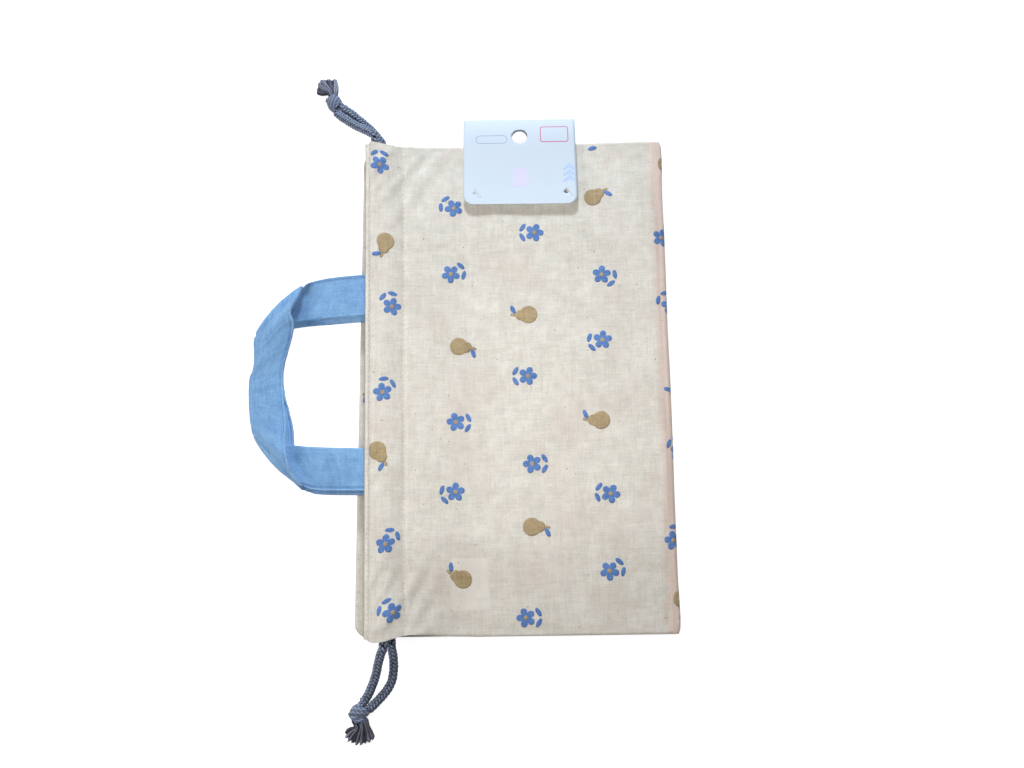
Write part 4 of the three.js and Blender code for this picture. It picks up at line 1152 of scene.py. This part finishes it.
def braid(pile, path, radius=CORD / 2, step=0.9):
    """Yarns wound both ways round a path, each passing over two and under two, with painted shade where they
    pass under and along their sides.
    """
    chord = lengths(path)
    at = np.linspace(0, chord[-1], max(6, int(chord[-1] / step)))
    line = at_length(path, chord, at)
    side, normal = path_frames(line)
    thick = radius * 0.14
    middle = radius * 1.06 - 1.9 * thick
    for way in (1, -1):
        for k in range(BRAID_YARNS):
            angle = 2 * math.pi * (k / BRAID_YARNS + way * at / BRAID_PITCH)
            over = way * np.clip(1.6 * np.cos(BRAID_YARNS * angle / 2 - math.pi / 4), -1, 1)
            out = np.cos(angle)[:, None] * side + np.sin(angle)[:, None] * normal
            centre = line + out * (middle + over * thick)[:, None]
            flat = np.cross(unit(np.gradient(centre, axis=0)), out) * radius * 2.05 / BRAID_YARNS
            turns = np.arange(6) * math.pi / 3
            rings = [centre + flat * math.cos(turn) + out * (thick * 1.15 * math.sin(turn)) for turn in turns]
            # Painted shade: darker where a yarn passes under and towards its sides
            tone = (0.40 + 0.5 * over)[:, None] * (0.05 + 0.95 * np.abs(np.sin(turns)))
            pile.add(np.stack(rings, axis=1), tone)


def braided(node, path, body, step=0.9):
    """A braided cord along a path, with its core coloured dark as painted shade between the yarns, in place
    of a CAD node.
    """
    yarns, core = Pile(), Pile()
    braid(yarns, path, step=step)
    core.add(tube_rings(path, CORD / 2 * CORE_SHARE, 12))
    obj = yarns.make(node + "_braid", cord_yarn, body, "cord_yarn")
    inner = core.make(node + "_braid_core", cord_core_painted_shade, body, "cord_yarn")
    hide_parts(node)
    return obj, inner


def make_run(letter, is_front):
    """The strand inside a tunnel, drawn back at its far end by the room that the bight takes."""
    node = f"cord_{letter}_{'front' if is_front else 'back'}_run"
    low, high = node_box(node)
    x, z = strand_place(letter, is_front)
    ends = (high[1], low[1] + BIGHT_SHIFT) if CORD_SIDE[letter] > 0 else (low[1], high[1] - BIGHT_SHIFT)
    braided(node, [(x, y, z) for y in np.linspace(*ends, 40)], "cord_" + letter, step=1.3)


def make_bight(letter):
    """The turn of a cord from the front tunnel to the back one, at the far side of the pouch."""
    side = CORD_SIDE[letter]
    front_x, back_x = CORD_X[letter]
    radius = (CORD_FRONT_Z - CORD_BACK_Z) / 2
    start_y = -side * (SIDE_Y - 6.8 - BIGHT_SHIFT)
    turn_y = start_y - side * 0.8
    path = [(front_x, start_y, CORD_FRONT_Z)]
    for t in np.linspace(0, 1, 24):
        angle = math.pi * (0.5 - t)
        path.append((mix(front_x, back_x, float(smooth(t))), turn_y - side * radius * math.cos(angle),
                     CORD_BACK_Z + radius + radius * math.sin(angle)))
    path.append((back_x, start_y, CORD_BACK_Z))
    braided(f"cord_{letter}_bight", path, "pouch")


def knot_turn(pile, letter, along, lean, yarns, radius, start, line="strands"):
    """A turn of the cord round the knot, flattened so that its yarns lie side by side."""
    middle = (yarns - 1) / 2
    for k in range(yarns):
        widest = KNOT_REACH - 0.9 * ((k - middle) / middle) ** 2
        path = []
        for t in np.linspace(0, 1, 60):
            angle = math.radians(start + 410 * t)
            reach = mix(1.4, widest, float(smooth(min(t, 1 - t) / 0.12)))
            place = along + (k - middle) * radius * 1.7 + lean * math.cos(angle)
            path.append(knot_point(letter, place, reach * math.cos(angle), reach * math.sin(angle), line))
        tone = 0.6 + 0.22 * np.sin(np.linspace(0, 40, 60) + 2.4 * k)
        pile.add(tube_rings(path, radius, 8), tone[:, None])


def make_knot(letter):
    """An overhand knot in the doubled cord: its strands, and the turns that hold them."""
    turns, core = Pile(), Pile()
    for facts in KNOT_TURNS[letter]:
        knot_turn(turns, letter, **facts)
    for lane in (-1, 1):
        path = [knot_point(letter, along, lane * (1.3 if along > 0 else 2.0), 0)
                for along in np.linspace(-6.2, 4.6, 14)]
        braid(turns, path, radius=KNOT_STRAND)
        core.add(tube_rings(path, KNOT_STRAND * CORE_SHARE, 10))
    # A dark filling in the knot: painted shade between its turns
    filling = [knot_point(letter, along, 0, 0) for along in np.linspace(-4.4, 4.4, 9)]
    core.add(tube_rings(filling, [1.6, 2.6, 3.2, 3.4, 3.4, 3.4, 3.2, 2.6, 1.6], 16))
    obj = turns.make(f"cord_{letter}_knot_turns", cord_yarn, "cord_" + letter, "cord_yarn")
    inner = core.make(f"cord_{letter}_knot_core", cord_core_painted_shade, "cord_" + letter, "cord_yarn")
    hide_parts(f"cord_{letter}_knot")
    return obj, inner


def along_line(points, share):
    chord = lengths(points)
    return at_length(points, chord, share * chord[-1])


def make_tassel(letter):
    """The frayed yarns past the knot, spread into a flat fan."""
    facts = FRAYED[letter]
    bundles, depth = facts["bundles"], facts["depth"]
    pile = Pile()
    random = np.random.default_rng(facts["seed"])
    centre = beside(letter, KNOTS[letter]["centre"])
    away = unit(along_line(facts["root"], 0.5) - centre[:2])
    for k in range(FRAYED_YARNS):
        filling = k % 3 == 0
        spot = random.uniform(-1, 1) if filling else float(np.clip(random.normal(0, 0.5), -0.9, 0.9))
        share = (k % bundles + 0.5 + 0.5 * spot) / bundles
        level = random.uniform(-1, 1)
        root = along_line(facts["root"], share)
        neck = root + away * facts["neck"]
        short = 1 - 0.14 * depth * spot**2 - random.uniform(0, 0.05) - (0.04 if filling else 0)
        tip = mix(neck, along_line(facts["tips"], share), short)
        start = mix(centre[:2] + away * 2.5, root, 0.25)
        plan = spline([start, root, neck + away * 0.6, mix(neck, tip, 0.55), tip], FRAYED_STEPS)
        settle = smooth((np.linspace(0, 1, FRAYED_STEPS) - 0.2) / 0.7)
        thick = mix(2.6, 1.7 * math.sqrt(max(0.1, 1 - 0.75 * depth * spot**2)), settle)
        height = np.maximum(0.45, mix(centre[2], 2.5, settle) + level * thick)
        # Painted shade: a yarn is darker towards the edges of its bundle, lower in the pile, and as dark
        # filling between the bundles. The tone also rises from each yarn's root to its tip.
        tone = (0.82 - 0.6 * abs(spot) ** 1.5 * (0.4 + 0.6 * depth)) * random.uniform(0.4, 1.0)
        tone *= (0.45 if filling else 1.0) * (0.55 + 0.45 * (level + 1) / 2)
        radius = [0.4] * (FRAYED_STEPS - 1) + [0.3]
        pile.add(tube_rings(np.column_stack([plan, height]), radius, 5),
                 tone * np.linspace(0.8, 1.25, FRAYED_STEPS)[:, None])
    obj = pile.make(f"cord_{letter}_frayed_ends", frayed_yarn, "cord_" + letter, "frayed_yarn")
    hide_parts(f"cord_{letter}_tassel")
    return obj


def make_cord(letter):
    make_bight(letter)
    knot_pieces = make_knot(letter)
    tassel = make_tassel(letter)
    for is_front in (True, False):
        make_run(letter, is_front)
        path = tail_path(letter, is_front)
        obj, core = braided(f"cord_{letter}_{'front' if is_front else 'back'}_tail", path, "cord_" + letter)


make_cord("a")
make_cord("b")


# Hang card

CARD_CENTRE_X = 2.8
CARD_WIDTH = 70.2
CARD_TURN = math.radians(-1.1)
CARD_LEAN = 0.024
CARD_THICKNESS = 0.35
CARD_CORNER = 5.5
CARD_BOW = 0.5
CARD_COLUMNS = 46
MARK_THICKNESS = 0.03
# Its section, from the front flap's free edge over its fold to the back flap's, as y and z
CARD_PROFILE = [(109.4, 15.3), (113, 14.6), (117, 13.9), (121, 13.2), (130, 11.9), (140, 10.7),
                (150, 9.6), (158, 8.5), (164, 7.1), (166.9, 6.05), (167.95, 5.3), (168.1, 4.8),
                (167.95, 4.3), (166.6, 3.6), (161, 2.5), (154, 1.75), (146, 1.48), (135, 1.48),
                (111.2, 1.48)]
HOLE_CENTRE = (3.0, 155.3)
HOLE_RADIUS = 4.9
PIN_PLACES = {"left": (CARD_CENTRE_X - CARD_WIDTH / 2 + 6.4, SIDE_Y - 32.8),
              "right": (CARD_CENTRE_X + CARD_WIDTH / 2 - 7.0, SIDE_Y - 32.2)}
PIN_HOLE_RADIUS = {"left": 0.5, "right": 1.3}

card_line = spline(CARD_PROFILE, 190)
card_length = lengths(card_line)


def card_turned(points):
    """Turns points in the card's own upright place to where it hangs, a little askew."""
    points = np.array(points, float)
    x, y = points[..., 0] - CARD_CENTRE_X, points[..., 1] - SIDE_Y
    x = x + CARD_LEAN * (18 - y)
    points[..., 0] = CARD_CENTRE_X + x * math.cos(CARD_TURN) - y * math.sin(CARD_TURN)
    points[..., 1] = SIDE_Y + x * math.sin(CARD_TURN) + y * math.cos(CARD_TURN)
    return points


def front_flap(y):
    """The length along the card and the height of its front flap at a given Y."""
    end = int(np.argmax(card_line[:, 0]))
    flap_y, flap_z = card_line[:end].T
    return np.interp(y, flap_y, card_length[:end]), np.interp(y, flap_y, flap_z)


def card_surface(x, along, stand_off=0.0):
    """A point of the card at a length from the front flap's free edge, bowed a little across."""
    def place(at):
        return at_length(card_line, card_length, at)
    y, z = place(along).T
    dy, dz = unit(place(along + 0.5) - place(along - 0.5)).T
    bow = CARD_BOW * smooth((40 - along) / 30) * (2 * (x - CARD_CENTRE_X) / CARD_WIDTH) ** 2
    return card_turned(np.stack([x, y - dz * stand_off, z + dy * stand_off + bow], axis=-1))


def upright_rod(centre, radius, low=-5.0, high=25.0, sides=40):
    x, y = card_turned(centre)
    angle = np.arange(sides) * 2 * math.pi / sides
    ring = np.stack([x + radius * np.cos(angle), y + radius * np.sin(angle)], axis=1)
    return np.stack([np.column_stack([ring, np.full(sides, z)]) for z in (low, high)])


def cut_holes(obj, rods):
    """Thickens the card and takes the rods out of it for good."""
    mesh = bpy.data.meshes.new("holes")
    mesh.from_pydata((np.concatenate(rods.points) * MM).tolist(), [], rods.faces)
    cutter = add_object("holes", mesh)
    hole = obj.modifiers.new("holes", "BOOLEAN")
    hole.operation = "DIFFERENCE"
    hole.solver = "EXACT"
    hole.object = cutter
    graph = bpy.context.evaluated_depsgraph_get()
    cut = bpy.data.meshes.new_from_object(obj.evaluated_get(graph))
    obj.modifiers.clear()
    obj.data = cut
    bpy.data.objects.remove(cutter)
    bpy.data.meshes.remove(mesh)


def make_card():
    """The folded card with its round corners, its hanging hole through both flaps and the pins' holes."""
    ends = np.array([0, 0.06, 0.25, 0.6, 1.1, 1.8, 2.7, 3.9, 5.5])
    last = card_length[-1]
    rows = []
    for s in np.concatenate([ends, np.arange(7, last - 6.5, 1.2), last - ends[::-1]]):
        into = max(0.0, CARD_CORNER - min(s, last - s))
        half = CARD_WIDTH / 2 - CARD_CORNER + math.sqrt(CARD_CORNER**2 - into**2)
        x = np.linspace(CARD_CENTRE_X - half, CARD_CENTRE_X + half, CARD_COLUMNS)
        rows.append(card_surface(x, np.full(CARD_COLUMNS, s)))
    obj = new_object("hang_card_sheet", rows, card_face, "pouch", thickness=CARD_THICKNESS)
    rods = Pile()
    rods.add(upright_rod(HOLE_CENTRE, HOLE_RADIUS, low=4.6))
    rods.add(upright_rod((HOLE_CENTRE[0] - 0.3, HOLE_CENTRE[1] + 0.8), HOLE_RADIUS + 0.2, high=4.2))
    for where, (x, y) in PIN_PLACES.items():
        rods.add(upright_rod((x + 0.3, y - 0.3), PIN_HOLE_RADIUS[where]))
    cut_holes(obj, rods)
    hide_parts("hang_card")


def card_mark(name, outline, material, hollow=None):
    """A printed mark on the front flap. outline is in millimetres across and up the card."""
    outline = np.array(outline, float)
    inner = np.broadcast_to(outline.mean(axis=0), outline.shape) if hollow is None else np.array(hollow)
    rows = [mix(outline, inner, t) for t in np.linspace(0, 1, 9 if hollow is None else 3)]
    x, y = np.concatenate(rows).T
    points = card_surface(x, front_flap(y)[0], CARD_THICKNESS / 2 + MARK_THICKNESS)
    new_object(name, points, material, "pouch", grid_faces(len(rows), len(outline), closed=True),
               thickness=MARK_THICKNESS, shaded_smooth=False)


def rounded(x0, x1, y0, y1, r, steps=8):
    """The outline of a rectangle with round corners, with some points on its straight sides too."""
    points = []
    corners = ((x1 - r, y1 - r, 0), (x0 + r, y1 - r, 90), (x0 + r, y0 + r, 180), (x1 - r, y0 + r, 270))
    for cx, cy, first in corners:
        for k in range(steps + 1):
            angle = math.radians(first + 90 * k / steps)
            points.append((cx + r * math.cos(angle), cy + r * math.sin(angle)))
        x, y = points[-1]
        reach = (x1 - x0 if first in (0, 180) else y1 - y0) - 2 * r
        away = math.radians(first + 180)
        for share in (0.2, 0.4, 0.6, 0.8):
            points.append((x + reach * share * math.cos(away), y + reach * share * math.sin(away)))
    return points


def make_marks():
    card_mark("card_pill", rounded(-24.4, -4.8, 150.7, 156.2, 2.7), slate_ink,
              rounded(-24.1, -5.1, 151.0, 155.9, 2.4))
    card_mark("card_frame", rounded(15.9, 33.5, 151.3, 162.2, 1.4), rose_ink,
              rounded(16.4, 33.0, 151.8, 161.7, 1.0))
    card_mark("card_panel", rounded(-1.5, 8.2, 121.4, 133.4, 0.3), lavender_ink)
    for k in range(3):
        chevron = [(29.6, 0), (33.5, 3.6), (37.3, 0.2), (37.3, 1.8), (33.5, 5.2), (29.6, 1.6)]
        card_mark(f"card_chevron_{k}", [(x, y + 123.6 + 4.0 * k) for x, y in chevron], chevron_ink)


PIN_TURN = math.radians(-58)
PIN_HALF = 4.2
PIN_LOW_Z = 0.55
PIN_RADIUS = 0.45
FILAMENT_RADIUS = 0.25


def make_pin(where):
    """A tag pin: a bar on the card, a filament down through its hole and a bar under the pouch."""
    place = PIN_PLACES[where]
    x, y = card_turned(place)
    top = float(front_flap(place[1])[1]) + CARD_THICKNESS / 2 + 0.4
    ux, uy = math.cos(PIN_TURN), math.sin(PIN_TURN)
    steps = np.linspace(-1, 1, 14)
    radius = PIN_RADIUS * np.sqrt(np.clip(1 - steps**10, 0.12, 1))
    pile = Pile()
    for z, slope, aside in ((top, 0.14, 2.0), (PIN_LOW_Z, 0.0, 0.0)):
        bar = [(x + aside + ux * t, y + uy * t, z - slope * uy * t) for t in steps * PIN_HALF]
        pile.add(tube_rings(bar, radius, 12, flat=0.72))
    rise = [(x, y, z) for z in np.linspace(PIN_LOW_Z, top - 1.2, 10)]
    bend = [(x + 0.3, y, top - 0.6), (x + 1.0, y, top - 0.15), (x + 2.0, y, top)]
    pile.add(tube_rings(rise + bend, FILAMENT_RADIUS, 8))
    obj = pile.make(where + "_tag_pin", plastic, "pouch", "clear_plastic")
    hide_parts("card_pin_" + where)


make_card()
make_marks()
make_pin("left")
make_pin("right")


# Floor, light and camera

FLOOR_GLOW = 0.83
WORLD_LIGHT = 0.16


def seen_directly(nodes):
    """1 for what the camera sees, also mirrored in gloss or through clear plastic."""
    rays = nodes.node("LightPath").outputs
    seen = nodes.math("MAXIMUM", rays["Is Camera Ray"], rays["Is Glossy Ray"])
    return nodes.math("MAXIMUM", seen, rays["Is Transmission Ray"])


def make_floor():
    reach = 4.0
    mesh = bpy.data.meshes.new("floor")
    mesh.from_pydata([(-reach, -reach, 0), (reach, -reach, 0), (reach, reach, 0), (-reach, reach, 0)],
                     [], [(0, 1, 2, 3)])
    floor = add_object("floor", mesh)
    floor.location.z = -0.0002
    material = bpy.data.materials.new("floor_white")
    nodes = Nodes(material)
    nodes.tree.nodes.clear()
    diffuse = nodes.node("BsdfDiffuse", {"Color": (0.8, 0.8, 0.8, 1)})
    glow = nodes.node("Emission", {"Strength": nodes.math("MULTIPLY", seen_directly(nodes), FLOOR_GLOW)})
    total = nodes.node("AddShader", {0: diffuse.outputs[0], 1: glow.outputs[0]})
    nodes.node("OutputMaterial", {"Surface": total.outputs[0]})
    mesh.materials.append(material)


def make_world():
    world = bpy.data.worlds.new("studio")
    bpy.context.scene.world = world
    nodes = Nodes(world)
    background = nodes.tree.nodes["Background"]
    strength = nodes.node("MapRange", {"Value": seen_directly(nodes), "To Min": WORLD_LIGHT, "To Max": 1.0})
    nodes.put(background.inputs["Color"], (1.0, 1.0, 1.0, 1))
    nodes.put(background.inputs["Strength"], strength.outputs["Result"])


def area_light(name, place, aim, size, power, colour):
    data = bpy.data.lights.new(name, "AREA")
    data.size = size
    data.energy = power
    data.color = colour
    lamp = add_object(name, data)
    lamp.location = place
    lamp.rotation_euler = (Vector(aim) - Vector(place)).to_track_quat("-Z", "Y").to_euler()
    lamp.visible_camera = False


PHOTO_WIDTH_PX = 1024
SENSOR = 36.0
CAMERA_DISTANCE = 0.620
CAMERA_TILT = math.radians(8.574)
CAMERA_YAW = math.radians(2.087)
CAMERA_ROLL = math.radians(-1.001)
CAMERA_FOCAL_PX = 1027.66
CAMERA_TARGET = Vector((-0.003941, -0.001518, 0.010))


def make_camera():
    data = bpy.data.cameras.new("camera")
    data.sensor_fit = "HORIZONTAL"
    data.sensor_width = SENSOR
    data.lens = CAMERA_FOCAL_PX * SENSOR / PHOTO_WIDTH_PX
    data.clip_start = 0.01
    data.clip_end = 20
    camera = add_object("camera", data)
    x, y = math.sin(CAMERA_YAW), -math.sin(CAMERA_TILT)
    back = Vector((x, y, math.sqrt(1 - x * x - y * y)))
    up = (Vector((0, 1, 0)) - back * back.y).normalized()
    right = (-back).cross(up)
    turned_right = right * math.cos(CAMERA_ROLL) + up * math.sin(CAMERA_ROLL)
    turned_up = -right * math.sin(CAMERA_ROLL) + up * math.cos(CAMERA_ROLL)
    axes = Matrix((turned_right, turned_up, back)).transposed().to_4x4()
    camera.matrix_world = Matrix.Translation(CAMERA_TARGET + back * CAMERA_DISTANCE) @ axes
    bpy.context.scene.camera = camera


make_floor()
make_world()
area_light("key", (-0.03, 0.72, 0.36), (0, 0, 0), 0.13, 4.1, (0.91, 0.99, 1.10))
area_light("left", (-0.50, -0.06, 0.30), (0, 0, 0), 0.20, 0.95, (1.05, 0.99, 0.95))
area_light("top", (0.015, -0.03, 0.27), (0.015, -0.03, 0), 0.14, 0.30, (1.05, 0.99, 0.95))
make_camera()
bpy.context.scene.view_settings.view_transform = "Standard"
